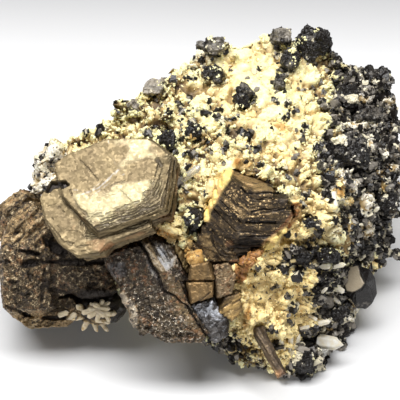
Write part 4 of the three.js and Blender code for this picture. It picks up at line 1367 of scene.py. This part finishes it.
class SPECIMEN_OT_left_mass(bpy.types.Operator):
    """The mass at the left: steep laminae above, granular lumps with pits below"""

    bl_idname = "specimen.left_mass"
    bl_label = "Pyrrhotite Left Mass"

    stack_axis = np.array([0.62, -0.6, 0.5]) / np.linalg.norm([0.62, -0.6, 0.5])
    # Painted shade of the cavity under the mass, on a raised patch of its surface
    cavity_shade = [(100, 297, 24, 8, 0, 1.0)]
    pits = [
        (32, 263, 9, 4, 5, 1.0), (31, 277, 3, 5, 20, 0.8), (12, 283, 3, 2.5, 0, 0.6),
        (15, 291, 3, 3, 0, 0.6), (27, 297, 4, 2.5, 40, 0.6), (28, 252, 11, 2.4, -12, 1.0),
        (4, 262, 5, 2, 0, 0.6), (92, 286, 5, 2, 20, 0.6), (55, 246, 14, 5, -38, 1.0),
        (70, 262, 30, 3, 0, 0.7), (44, 285, 2, 20, -6, 0.5), (62, 292, 18, 2, -15, 0.5),
        (20, 312, 16, 1.6, -20, 1.0), (58, 318, 18, 1.6, 0, 0.9),
    ]

    def execute(self, context):
        dress(
            "left_mass",
            "_crust",
            "dark_pyrrhotite",
            self.carve,
            "brown_crust",
            context.scene.pyrrhotite_look,
            brown=(0.06, 0.042, 0.023),
            gold=(0.46, 0.315, 0.15),
            pale=(0.74, 0.59, 0.37),
            rough=0.32,
            grain_size=0.8,
            depth=0.16,
            pitted=1.5,
        )
        return {"FINISHED"}

    def carve(self, points, normals):
        seen = pixels(points)
        wobble = fractal(points, 5.0, 501)
        upper = smoothstep(254, 244, seen[:, 1] + 5 * wobble)
        upper *= smoothstep(50, 42, seen[:, 0] + 4 * wobble)
        stack = points @ self.stack_axis
        line = np.column_stack([stack, 0.12 * points[:, 0], 0.12 * points[:, 1]])
        laminae = noise(line, 0.8, 503) + 0.6 * noise(line, 0.45, 505)
        coarse = facets(points, 2.2, 507)
        fine = facets(points, 1.0, 509)
        grain = 0.4 * coarse + 0.45 * fine + 0.6 * fractal(points, 7, 511)
        steep = 0.32 * laminae + 0.35 * fine + 0.3 * coarse
        pits = blots(seen, self.pits, 0.6 * wobble + 0.3 * fractal(points, 1.2, 515))
        heights = upper * steep + (1 - upper) * grain - 1.3 * pits
        cavity_shade = blots(seen, self.cavity_shade, 0.6 * wobble)
        heights += 1.2 * cavity_shade
        pits = np.maximum(pits, cavity_shade)
        kinds = lots(points, 0.9, 513)
        # Painted shade on the part below the rosette: less gold, fewer glints, darker
        shaded = smoothstep(38, 56, seen[:, 0]) * smoothstep(236, 258, seen[:, 1])
        shaded *= 1 - 0.6 * smoothstep(300, 312, seen[:, 1])
        gold = upper * smoothstep(-0.8, 1.0, laminae) + (1 - upper) * 0.7 * kinds[:, 0] ** 1.5
        rim = smoothstep(308, 318, seen[:, 1] + 5 * wobble)
        crest = 0.12 + (0.25 + 0.35 * upper) * gold * (1 - 0.7 * shaded)
        # Painted shade low between the lumps, in the pits and the cavity, and below the rosette
        painted_shade = 0.45 * smoothstep(0.1, -0.8, coarse) * (1 - 0.6 * upper) + pits + 0.2 * shaded
        return heights, {
            "crest": np.clip(crest, 0, 1) + 0.5 * rim,
            "pale": 0.3 * rim * (kinds[:, 0] > 0.5),
            "glint": 0.008 + 0.025 * (1 - shaded),
            "tarnish": 0.1 + 0.25 * wobble,
            "rust": 0.2 + 0.5 * (kinds[:, 2] - 0.5) + 0.3 * shaded * wobble,
            "painted_shade": np.clip(painted_shade, 0, 1),
        }


# Cracks and layers in the two smooth blocks, cut in and given painted shade: points, half width and
# depth
BLOCK_LINES = [
    ([(188, 292), (188, 302), (186, 306)], 0.6, 0.8),
    ([(211, 292), (204, 298), (196, 303), (188, 305)], 0.6, 0.9),
    ([(212, 288), (206, 296), (198, 300)], 0.4, 0.5),
    ([(197, 270), (203, 276), (207, 285)], 0.4, 0.6),
    ([(188, 278), (196, 281), (208, 281)], 0.3, 0.4),
]


def smooth_block(points, normals):
    seen = pixels(points)
    wobble = fractal(points, 4.0, 601)
    flaws = 0.2 * fractal(points, 1.2, 603) + 0.15 * facets(points, 1.6, 605)
    cracks = drawn(seen, BLOCK_LINES, 0.5 * wobble)
    lines = noise(np.column_stack([seen[:, 0], 0.05 * seen[:, 1], 0 * wobble]), 2.0, 607)
    # Cracks are cut in and given painted shade
    return 0.2 * wobble + flaws - 0.25 * cracks, {
        "crest": 0.45 + 0.4 * wobble + 0.25 * lines,
        "rust": 0.12 + 0.3 * wobble,
        "painted_shade": 0.8 * cracks,
    }


def rough_block(points, normals):
    coarse = facets(points, 1.7, 611)
    kinds = lots(points, 0.9, 613)
    # Painted shade low between the facets
    return 0.5 * coarse + 0.2 * facets(points, 0.8, 615), {
        "crest": 0.2 + 0.5 * kinds[:, 0],
        "glint": 0.02,
        "rust": 0.5 * kinds[:, 2],
        "painted_shade": 0.5 * smoothstep(0, -1, coarse),
    }


def gold_block(points, normals):
    line = points @ turned([0, 0, 30]) * (0.2, 1.0, 0.2)
    laminae = noise(line, 1.4, 621) + 0.8 * noise(line, 0.6, 622)
    # Painted shade low between the laminae
    return 0.3 * laminae + 0.2 * facets(points, 1.2, 623), {
        "crest": 0.35 + 0.4 * laminae,
        "pale": 0.7 * (facets(points, 1.0, 625) > 0.7),
        "painted_shade": 0.5 * smoothstep(-0.2, -0.9, laminae),
    }


def carved_crust(points, normals):
    seen = pixels(points)
    kinds = lots(points, 1.3, 631)
    top = smoothstep(324, 314, seen[:, 1] + 4 * fractal(points, 3, 633))
    coarse = facets(points, 1.6, 635)
    # Painted shade low between the facets, less near the top
    return 0.6 * coarse + 0.25 * facets(points, 0.8, 637), {
        "crest": (0.15 + 0.5 * kinds[:, 0]) * (0.4 + 0.6 * top),
        "pale": top * (0.2 + 0.75 * kinds[:, 1]) * smoothstep(-0.4, 0.2, coarse),
        "tarnish": 0.2 + 0.45 * kinds[:, 2] * top,
        "painted_shade": 0.5 * smoothstep(0, -1, coarse) * (1 - 0.6 * top),
    }


def carved_rods(points, normals):
    seen = pixels(points)
    side = right_of(seen, (0.52, -0.85))
    line = np.column_stack([side, 0.02 * seen[:, 1], 0.3 * points[:, 2]])
    lines = noise(line, 0.8, 641) + 0.4 * noise(line, 0.35, 643)
    blue = blots(seen, [(162, 252, 9, 12, -30, 1.0)], 0.3 * lines)
    bright = blots(seen, [(152, 256, 6, 16, -28, 1.0)], 0.2 * lines)
    # Painted shade low between the lines
    return 0.4 * lines, {
        "crest": 0.3 + 0.35 * lines + 0.5 * bright,
        "pale": 0.5 * bright + 0.25 * blue,
        "tarnish": 0.8 * blue,
        "painted_shade": 0.45 * smoothstep(-0.1, -1.0, lines),
    }


def carved_blade(points, normals):
    seen = pixels(points)
    wobble = fractal(points, 3.0, 651)
    way = np.array([0.54, 0.84])
    line = np.column_stack([right_of(seen, way), 0.01 * (seen @ way), 0.2 * points[:, 2]])
    streaks = noise(line, 0.6, 653)
    # Painted light along the blade's left edge: more gold, less painted shade; the rest of the
    # blade gets painted shade
    left = beside(seen, [(254, 342), (266, 362), (280, 378)], 3.0, wobble)
    lower = smoothstep(362, 374, seen[:, 1])
    return 0.22 * streaks + 0.3 * wobble, {
        "crest": 0.15 + 0.3 * streaks + 0.35 * left,
        "rust": 0.1 + 0.3 * lower + 0.2 * wobble,
        "painted_shade": np.clip(0.25 - 0.4 * left + 0.3 * wobble, 0, 0.8),
    }


class SPECIMEN_OT_blocks(bpy.types.Operator):
    """The blocks, rods, crust and blade between the slab and the bent bundle"""

    bl_idname = "specimen.blocks"
    bl_label = "Pyrrhotite Blocks"

    tan = dict(brown=(0.12, 0.075, 0.03), gold=(0.27, 0.165, 0.062), pale=(0.6, 0.42, 0.2))
    dark = dict(brown=(0.10, 0.07, 0.042), gold=(0.36, 0.25, 0.13), pale=(0.8, 0.68, 0.46))
    olive = dict(brown=(0.13, 0.09, 0.04), gold=(0.42, 0.30, 0.12), pale=(0.74, 0.60, 0.32))
    worn = dict(brown=(0.09, 0.06, 0.033), gold=(0.34, 0.23, 0.11), pale=(0.5, 0.38, 0.2))
    bright = dict(brown=(0.09, 0.055, 0.022), gold=(0.55, 0.36, 0.13), pale=(0.85, 0.64, 0.32))
    blue = dict(brown=(0.05, 0.043, 0.038), gold=(0.40, 0.38, 0.37), pale=(0.80, 0.84, 0.92))

    def execute(self, context):
        table = [
            ("block_upper", smooth_block, self.tan, "bronze_pyrrhotite"),
            ("block_lower", smooth_block, self.tan, "bronze_pyrrhotite"),
            ("block_rough", rough_block, self.dark, "bronze_pyrrhotite"),
            ("block_gold", gold_block, self.bright, "bronze_pyrrhotite"),
            ("crust", carved_crust, self.blue, "dark_pyrrhotite"),
            ("rods", carved_rods, self.olive, "bronze_pyrrhotite"),
            ("blade", carved_blade, self.worn, "dark_pyrrhotite"),
        ]
        for name, carve, colours, slot in table:
            finish = dict(colours, rough=0.42, depth=0.1, pitted=0.4)
            look = context.scene.pyrrhotite_look
            dress(name, "_surface", slot, carve, name + "_bronze", look, **finish)
        return {"FINISHED"}


# The flat face of the large crystal, painted tan as painted sheen
SHEEN_FACE = [(346, 267), (350, 265), (358, 266), (360, 276), (364, 283), (361, 288)]
SHEEN_FACE += [(352, 292), (347, 291), (343, 280)]
LARGE_CRYSTAL_LINES = [
    ([(359, 268), (361, 277), (365, 284), (361, 290), (353, 293), (349, 298)], 0.9, 1.0),
    ([(361, 277), (366, 272), (372, 272)], 0.6, 0.5),
    ([(364, 284), (370, 288), (373, 298)], 0.5, 0.4),
    ([(355, 294), (354, 302), (358, 306)], 0.6, 0.6),
]


class SPECIMEN_OT_sphalerite_crystals(bpy.types.Operator):
    """The larger black crystals: each a knot of intergrown blocks where its solid is"""

    bl_idname = "specimen.sphalerite_crystals"
    bl_label = "Sphalerite Crystals"

    large = "sphalerite_crystal_1"
    # The share of grey, dust and painted sheen, on crystals that aren't plain black, by number
    dust_and_sheen = {2: 0.2, 3: 0.55, 4: 0.35, 5: 0.45, 6: 0.2, 7: 0.6, 8: 0.4, 9: 0.45, 10: 0.3}
    dust_and_sheen |= {11: 0.3, 12: 0.6, 13: 0.8, 14: 0.9, 22: 0.2, 23: 0.3}
    # How many blocks make a crystal, where fewer than nine do
    plain = {12: 3, 13: 2, 14: 2}

    def execute(self, context):
        made["sphalerite"] = sphalerite_finish(context.scene.sphalerite_look)
        made["blocks"] = [block_shape(np.random.default_rng(k), 9 + k % 4) for k in range(9)]
        made["black"] = []
        self.large_crystal()
        for node in SPHALERITE_NODES:
            if node == self.large:
                continue
            number = int(node.rsplit("_", 1)[1])
            random = np.random.default_rng(100 + number)
            middle, half = box_of(node)
            count = self.plain.get(number, 9)
            ways = unit(random.normal(size=(count, 3)))
            ways[0] = (0.0, 0.0, 1.0)
            spins = random.random(count) * math.tau
            spins[0] = 0.0
            feet = middle + ways * half * (0.35 + 0.3 * random.random((count, 1)))
            feet[0] = middle
            sizes = half.mean() * (0.3 + 0.3 * random.random((count, 3)))
            sizes[0] = 0.8 * half[[1, 0, 2]]
            dust_and_sheen = self.dust_and_sheen.get(number, 0.1)
            kinds = random.integers(len(made["blocks"]), size=count)

            def carve(points, normals):
                turn = turned([20 * number, 30, 50 * number])
                grit = lots(points, 1.0, 60 + number)
                lines = noise(points @ turn * (0.25, 0.25, 1.0), 0.7, number)
                heights = 0.5 * facets(points, 1.8, number) + 0.4 * facets(points, 0.9, 40 + number)
                patches = 0.5 * fractal(points, 3.5, 80 + number) + 0.35 * (grit[:, 0] - 0.5)
                frost = 0.14 + 0.32 * np.clip(normals[:, 2], 0, 1) + 0.3 * patches
                frost += 0.7 * blots(pixels(points), PALE_SPOTS, 0.3 * patches, 0.3)
                return heights + 0.1 * lines - 0.1, {
                    # Grey and tan here are dust and painted sheen
                    "tint": dust_and_sheen + patches,
                    "frost": frost,
                    "tan": 0.3 * (dust_and_sheen > 0.75) * (0.6 + lines),
                }

            knot = grown("knot", made["blocks"], kinds, feet, ways, spins, sizes, {})
            mesh = carved(knot, VOXELS["knot"], carve)
            link(node + "_blocks", mesh, made["sphalerite"], "sphalerite", node)
            made["black"].append(mesh)
        return {"FINISHED"}

    def large_crystal(self):
        mesh = carved(merged(self.large), VOXELS["large_crystal"], self.carve_large)
        link(self.large + "_faces", mesh, made["sphalerite"], "sphalerite", self.large)
        made["black"].append(mesh)

    def carve_large(self, points, normals):
        seen = pixels(points)
        wobble = fractal(points, 2.0, 931)
        # The flat face is painted tan: painted sheen
        face = within(seen, SHEEN_FACE, 0.7, 0.5 * wobble)
        ridges = drawn(seen, LARGE_CRYSTAL_LINES, 0.4 * wobble)
        lines = noise(points @ turned([0, 40, 20]) * (0.15, 0.15, 1.0), 0.5, 933)
        grit = lots(points, 0.9, 935)
        rough = smoothstep(296, 304, seen[:, 1] + 3 * wobble)
        heights = (1 - face) * 0.06 * lines - 0.22 * ridges + 0.3 * rough * wobble
        return heights, {
            "tint": 0.12 + 0.35 * wobble * (1 - face) + 0.5 * rough * grit[:, 0] - 0.3 * ridges,
            "tan": face * (0.9 + 0.15 * wobble),
        }


# The dark root of the quartz spray: its middle and half its size
SPRAY_ROOT = np.array([-31, -33.4, -11.5])
SPRAY_ROOT_HALF = np.array([8, 5, 6.5])


class SPECIMEN_OT_clear_quartz(bpy.types.Operator):
    """The separate clear crystals and the spray under the left mass"""

    bl_idname = "specimen.clear_quartz"
    bl_label = "Clear Quartz"

    bevel = 0.1  # mm

    def execute(self, context):
        look = context.scene.quartz_look
        clear = clear_finish("clear_quartz", look, 0.75)
        milky = clear_finish("veiled_quartz", look, 0.35)
        self.spray()
        for node in CLEAR_NODES:
            bm = bmesh.new()
            bm.from_mesh(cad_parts[node].data)
            bmesh.ops.remove_doubles(bm, verts=bm.verts, dist=1e-6)
            bmesh.ops.dissolve_limit(bm, angle_limit=0.02, verts=bm.verts, edges=bm.edges)
            bmesh.ops.bevel(
                bm,
                geom=bm.edges,
                offset=self.bevel * MM,
                offset_type="OFFSET",
                affect="EDGES",
                segments=1,
                profile=0.5,
                material=-1,
            )
            bmesh.ops.triangulate(bm, faces=bm.faces)
            mesh = bpy.data.meshes.new(node + "_faces")
            bm.to_mesh(mesh)
            bm.free()
            shade(mesh, False)
            material = milky if node == "quartz_crystal_1" else clear
            link(node + "_faces", mesh, material, "clear_quartz", node)
        return {"FINISHED"}

    def spray(self):
        mesh = carved(merged("quartz_spray"), VOXELS["spray"], self.carve_spray)
        link("quartz_spray_points", mesh, made["quartz"], "quartz", "quartz_spray")
        made["spray"] = mesh

    def carve_spray(self, points, normals):
        away = (points - SPRAY_ROOT) / SPRAY_ROOT_HALF
        deep = smoothstep(1.2, 1.02, np.linalg.norm(away, axis=1))
        wobble = fractal(points, 2.0, 951)
        rough = facets(points, 1.1, 953)
        heights = (1 - deep) * (0.3 * wobble + 0.16 * rough)
        heights += deep * (0.5 + 0.8 * facets(points, 2.2, 955) + 0.3 * rough)
        # The root is painted near black with painted shade and the smoky colour; the points get
        # some painted shade, more low between their facets
        return heights, {
            "tint": 0.2 + 0.4 * wobble - 0.3 * deep,
            "stain": np.clip(0.12 + 0.4 * wobble, 0, 1) * (1 - deep),
            "ashen": 1 - deep,
            "painted_shade": np.clip(0.2 + 0.8 * deep + 0.35 * smoothstep(0.1, -0.6, rough), 0, 1),
            "dark": deep,
        }


# Single pale crystals that stand clear: the pixels of their feet and tips, and their radii in mm
SINGLE_CRYSTALS = [
    (319, 267, 333, 265, 1.3), (333, 267, 347, 263, 0.9), (303, 257, 310, 263, 0.8),
    (304, 327, 319, 323, 0.9), (311, 318, 318, 322, 0.7), (322, 322, 331, 318, 1.0),
    (324, 334, 333, 331, 0.9), (334, 196, 336, 214, 0.9), (289, 350, 291, 330, 0.9),
    (296, 346, 300, 332, 0.8), (283, 348, 279, 338, 0.7), (366, 214, 370, 196, 0.8),
    (372, 212, 379, 205, 0.7), (333, 299, 341, 306, 0.8), (338, 288, 343, 292, 0.9),
    (322, 292, 327, 286, 0.6), (344, 321, 353, 316, 0.8), (58, 172, 50, 160, 0.8),
    (52, 168, 44, 160, 0.7), (47, 158, 40, 163, 0.6), (70, 318, 78, 312, 0.9),
    (62, 314, 71, 311, 0.9), (84, 322, 92, 330, 0.8), (98, 311, 108, 317, 1.0),
    (101, 308, 113, 309, 0.9), (99, 307, 91, 303, 0.9), (103, 306, 112, 301, 0.8),
    (104, 313, 114, 315, 0.8), (100, 315, 97, 324, 0.9), (95, 313, 86, 318, 0.9),
    (94, 309, 85, 309, 0.8), (102, 304, 105, 297, 0.8), (107, 316, 112, 323, 0.8),
    (90, 311, 80, 313, 0.9),
]


class SPECIMEN_OT_druse(bpy.types.Operator):
    """The druse: thousands of small quartz crystals all over the front of the matrix"""

    bl_idname = "specimen.druse"
    bl_label = "Quartz Druse"

    each_piece = 8000  # crystals
    on_black = 26  # one crystal on the black ones for so many on the ground
    clear_by = 0.4  # mm between a crystal's foot and the pyrrhotite
    chip_share = 0.15  # of the crystals are broken chips
    buried = (0.58, 0.35)  # of a crystal's and of a chip's length is in the ground

    def places(self, points, random):
        """Where the crystals stand: their feet and the ground's normals there"""
        ground = Ground(made["matrix"])
        made["ground"] = ground
        others = Ground(*(made[name] for name in BARE))
        lit = smoothstep(-0.35, 0.1, ground.normals[:, 2] + 0.01 * (ground.middles[:, 2] + 15))
        ground_seen = pixels(ground.middles)
        dark = darkness_at(ground_seen, ground.middles)
        _, gaps = mounds_at(ground.middles)
        calm = calm_at(ground_seen, ground.middles)
        clumps = 0.35 + smoothstep(-0.3, 0.4, fractal(ground.middles, 4.0, 99))
        weights = lit * (1 - 0.75 * dark) * (1 - 0.8 * gaps) * (1 - 0.8 * calm) * clumps
        feet, normals = ground.scattered(points, weights + 1e-6, random)
        clear = others.clearance(feet) > self.clear_by
        feet, normals = feet[clear], normals[clear]
        black = Ground(*made["black"][1:])
        low = smoothstep(2.2, 0.4, ground.clearance(black.middles))
        low *= smoothstep(-0.2, 0.5, fractal(black.middles, 3.0, 119))
        low *= smoothstep(-0.1, 0.4, black.normals[:, 2])
        low *= 1 - 0.9 * darkness_at(pixels(black.middles), black.middles)
        more, more_normals = black.scattered(points // self.on_black, low, random)
        return np.concatenate([feet, more]), np.concatenate([normals, more_normals])

    def execute(self, context):
        random = np.random.default_rng(11)
        feet, normals = self.places(context.scene.quartz_look.points, random)
        count = len(feet)
        _, _, patch, away = cells(feet, 5.0, 5)
        ways = normals + 0.8 * away + 0.45 * random.normal(size=(count, 3))
        ways[:, 2] += 0.1
        ways = unit(ways)
        seen = pixels(feet)
        calm = calm_at(seen, feet)
        size = 0.24 + 0.3 * random.random(count) ** 2
        size *= 0.8 + 0.5 * patch[:, 1]
        chips = random.random(count) < self.chip_share
        tall = size * (2.6 + 2.2 * random.random(count) ** 2) * (0.8 + 0.4 * patch[:, 2])
        tall = np.where(chips, 1.1 * size, tall) * (1 - 0.3 * calm)
        stain = stain_at(seen, feet)
        dark = darkness_at(seen, feet)
        shaded = np.clip(dark * (0.4 + 0.9 * random.random(count)), 0, 1)
        attributes = {
            "stain": stain * (0.85 + 0.3 * random.random(count)),
            "dark": 0.6 * shaded,
            "ashen": ashen_at(seen, feet),
            "tint": 0.55 + 0.5 * random.random(count),
        }
        spins = random.random(count) * math.tau
        feet = feet - np.where(chips, *self.buried[::-1])[:, None] * tall[:, None] * ways
        width = np.where(chips, 1.2, 1.0) * size
        sizes = np.column_stack([width, width * (0.75 + 0.5 * random.random(count)), tall])
        shapes = [quartz_shape(0.78, 0.92), quartz_shape(0.6, 0.8), quartz_shape(0.7, 0.66)]
        shapes += [block_shape(random, 4), block_shape(random, 4)]
        kinds = np.where(chips, 3 + random.integers(2, size=count), random.integers(3, size=count))
        for number, start in enumerate(range(0, count, self.each_piece)):
            part = slice(start, start + self.each_piece)
            chosen = {key: value[part] for key, value in attributes.items()}
            name = f"quartz_druse_{number + 1}"
            mesh = grown(
                name, shapes, kinds[part], feet[part], ways[part], spins[part], sizes[part], chosen
            )
            link(name, mesh, made["quartz"], "quartz")
        self.singles([quartz_shape(0.85, 0.95), quartz_shape(0.8, 0.85)], random)
        return {"FINISHED"}

    def singles(self, shapes, random):
        carriers = Ground(made["matrix"], made["left_mass"], made["spray"])
        table = np.array(SINGLE_CRYSTALS)
        table = table[carriers.seen(table[:, :2])[2] & carriers.seen(table[:, 2:4])[2]]
        feet, normals, _ = carriers.seen(table[:, :2])
        tips, _, _ = carriers.seen(table[:, 2:4])
        reach = tips - feet
        reach[:, 2] = np.clip(reach[:, 2], 0, 2) + 1.2
        tall = 0.8 * np.linalg.norm(reach, axis=1) + 1.0
        ways = unit(reach)
        count = len(table)
        sizes = np.column_stack([table[:, 4], table[:, 4], tall])
        attributes = {"tint": np.full(count, 1.0), "ashen": np.full(count, 0.8)}
        # Painted shade on the crystals at the left, most of them in the spray under the left mass
        attributes["painted_shade"] = 0.24 * (table[:, 0] < 130)
        spins = random.random(count) * math.tau
        kinds = np.arange(count) % len(shapes)
        feet = feet + 0.4 * normals - ways
        mesh = grown("quartz_single", shapes, kinds, feet, ways, spins, sizes, attributes)
        link("quartz_single_crystals", mesh, made["quartz"], "quartz")


class SPECIMEN_OT_sphalerite_grains(bpy.types.Operator):
    """The small black crystals: scattered in the dark fields, and in clusters on the pale quartz"""

    bl_idname = "specimen.sphalerite_grains"
    bl_label = "Sphalerite Grains"

    pieces = 3

    def clustered(self, random):
        """The pixels and the radii in mm of the grains round the larger crystals and in clusters"""
        places, radii = [], []
        for node in SPHALERITE_NODES:
            middle, half = box_of(node)
            x, y = pixels([middle])[0]
            half = half / PIXEL
            for _ in range(int(0.3 * half[0] + 0.3 * half[1])):
                spin = random.random() * math.tau
                far = 0.8 + 0.4 * random.random()
                right, up = far * half[0] * math.cos(spin), far * half[1] * math.sin(spin)
                places.append((x + right, y - up))
                radii.append(0.35 + 0.5 * random.random() ** 2)
        for x, y, half_width, half_height, turn in BLACK_CLUSTERS:
            angle = math.radians(turn)
            small = min(half_width, half_height) * PIXEL
            large_count = 2 + round(half_width * half_height / 8)
            for k in range(large_count + int(1 + 0.12 * half_width * half_height)):
                spin = random.random() * math.tau
                reach = math.sqrt(random.random()) * (0.65 if k < large_count else 1.15)
                along = half_width * reach * math.cos(spin)
                up = half_height * reach * math.sin(spin)
                right = along * math.cos(angle) - up * math.sin(angle)
                rise = along * math.sin(angle) + up * math.cos(angle)
                places.append((x + right, y - rise))
                if k < large_count:
                    radii.append(min(1.5, max(0.5, small * (0.5 + 0.5 * random.random()))))
                else:
                    radii.append(0.3 + 0.45 * random.random())
        return places, np.array(radii)

    def execute(self, context):
        random = np.random.default_rng(23)
        ground = made["ground"]
        share = darkness_at(pixels(ground.middles), ground.middles)
        share = share * (ground.normals[:, 2] > -0.15)
        count = context.scene.sphalerite_look.grains
        field, field_normals = ground.scattered(count, share, random)
        places, radii = self.clustered(random)
        spots, spot_normals, found = ground.seen(places)
        feet = np.concatenate([field, spots])
        ways = np.concatenate([field_normals, spot_normals])
        count = len(feet)
        field_sizes = 0.32 + 0.75 * random.random(len(field)) ** 3
        size = np.concatenate([field_sizes, radii[found]])
        ways = ways + 0.5 * random.normal(size=(count, 3))
        sizes = size[:, None] * (0.6 + 0.8 * random.random((count, 3)))
        feet = feet - 0.1 * size[:, None] * ways / np.linalg.norm(ways, axis=1, keepdims=True)
        spins = random.random(count) * math.tau
        # Some grains are grey: grey dust and painted sheen
        tint = 1.2 * random.random(count) ** 1.6 - 0.1
        frost = 0.25 + 0.75 * (random.random(count) < 0.1)
        shards = [block_shape(np.random.default_rng(40 + k), 4 + k % 3) for k in range(9)]
        kinds = random.integers(len(shards), size=count)
        for number in range(self.pieces):
            part = slice(number, None, self.pieces)
            name = f"sphalerite_grains_{number + 1}"
            looks = {"tint": tint[part], "frost": frost[part]}
            mesh = grown(
                name, shards, kinds[part], feet[part], ways[part], spins[part], sizes[part], looks
            )
            link(name, mesh, made["sphalerite"], "sphalerite")
        return {"FINISHED"}


class SPECIMEN_OT_stage(bpy.types.Operator):
    """The pale table, the soft lights and the camera"""

    bl_idname = "specimen.stage"
    bl_label = "Stage"

    # All in metres: half the table's width, how far behind the origin it turns darker as painted
    # shade, and the sizes, places and aims of the lights, where the key light shines straight down
    half_table = 4.0
    falloff = (0.08, 0.145)
    key = ((0.80, 0.22), (-0.13, 0.05, 0.60), None)
    fill = ((0.5, 0.3), (0.2, -0.8, 0.24), (0, 0, 0.03))
    view_end = 20
    sensor = 36  # mm

    def execute(self, context):
        look = context.scene.stage_look
        scene = context.scene
        bm = bmesh.new()
        bmesh.ops.create_grid(bm, x_segments=1, y_segments=1, size=self.half_table)
        mesh = bpy.data.meshes.new("floor")
        bm.to_mesh(mesh)
        bm.free()
        floor = added("floor", mesh)
        finish = Finish("pale_table", Roughness=0.7)
        split = finish.node("ShaderNodeSeparateXYZ", None, {0: finish.place})
        # The table is painted darker further behind: painted shade
        behind = Number(finish, split.outputs[1]).between(*self.falloff)
        table = finish.mix(behind, look.floor, look.shaded_far_floor)
        mesh.materials.append(finish.done(Base_Color=table))

        world = bpy.data.worlds.new("soft_room")
        scene.world = world
        world.use_nodes = True
        background = world.node_tree.nodes["Background"]
        background.inputs["Color"].default_value = (1.0, 1.0, 1.0, 1.0)
        background.inputs["Strength"].default_value = look.ambient

        self.light("key", look.key, *self.key)
        self.light("fill", look.fill, *self.fill)

        camera = added("camera", bpy.data.cameras.new("camera"))
        eye = to_world([0, 0, VIEW_DISTANCE])
        camera.location = eye
        camera.rotation_euler = facing(eye, to_world([0, 0, 0]))
        camera.data.sensor_width = self.sensor
        camera.data.lens = self.sensor * VIEW_DISTANCE / (IMAGE_SIZE * PIXEL)
        camera.data.clip_end = self.view_end
        scene.camera = camera
        scene.view_settings.view_transform = "Standard"
        return {"FINISHED"}

    def light(self, name, power, size, place, target):
        data = bpy.data.lights.new(name, "AREA")
        data.shape = "RECTANGLE"
        data.size, data.size_y = size
        data.energy = power
        lamp = added(name, data)
        lamp.location = place
        if target is not None:
            lamp.rotation_euler = facing(place, target)


STEPS = (
    SPECIMEN_OT_matrix,
    SPECIMEN_OT_rosette,
    SPECIMEN_OT_fan,
    SPECIMEN_OT_slab,
    SPECIMEN_OT_left_mass,
    SPECIMEN_OT_blocks,
    SPECIMEN_OT_sphalerite_crystals,
    SPECIMEN_OT_clear_quartz,
    SPECIMEN_OT_druse,
    SPECIMEN_OT_sphalerite_grains,
    SPECIMEN_OT_stage,
)

LOOKS = {
    "quartz_look": QuartzLook,
    "pyrrhotite_look": PyrrhotiteLook,
    "sphalerite_look": SphaleriteLook,
    "stage_look": StageLook,
}


class SPECIMEN_PT_panel(bpy.types.Panel):
    """The specimen's pieces and looks"""

    bl_idname = "SPECIMEN_PT_panel"
    bl_label = "Specimen"
    bl_space_type = "VIEW_3D"
    bl_region_type = "UI"
    bl_category = "Specimen"

    def draw(self, context):
        for name, group in LOOKS.items():
            box = self.layout.box()
            for key in group.__annotations__:
                box.prop(getattr(context.scene, name), key)
        for step in STEPS:
            self.layout.operator(step.bl_idname)


def register():
    for name, group in LOOKS.items():
        bpy.utils.register_class(group)
        setattr(bpy.types.Scene, name, bpy.props.PointerProperty(type=group))
    for step in STEPS:
        bpy.utils.register_class(step)
    bpy.utils.register_class(SPECIMEN_PT_panel)


def unregister():
    bpy.utils.unregister_class(SPECIMEN_PT_panel)
    for step in reversed(STEPS):
        bpy.utils.unregister_class(step)
    for name in LOOKS:
        delattr(bpy.types.Scene, name)
    for group in LOOKS.values():
        bpy.utils.unregister_class(group)


def main():
    register()
    for step in STEPS:
        family, name = step.bl_idname.split(".")
        getattr(getattr(bpy.ops, family), name)()


if __name__ == "__main__":
    main()
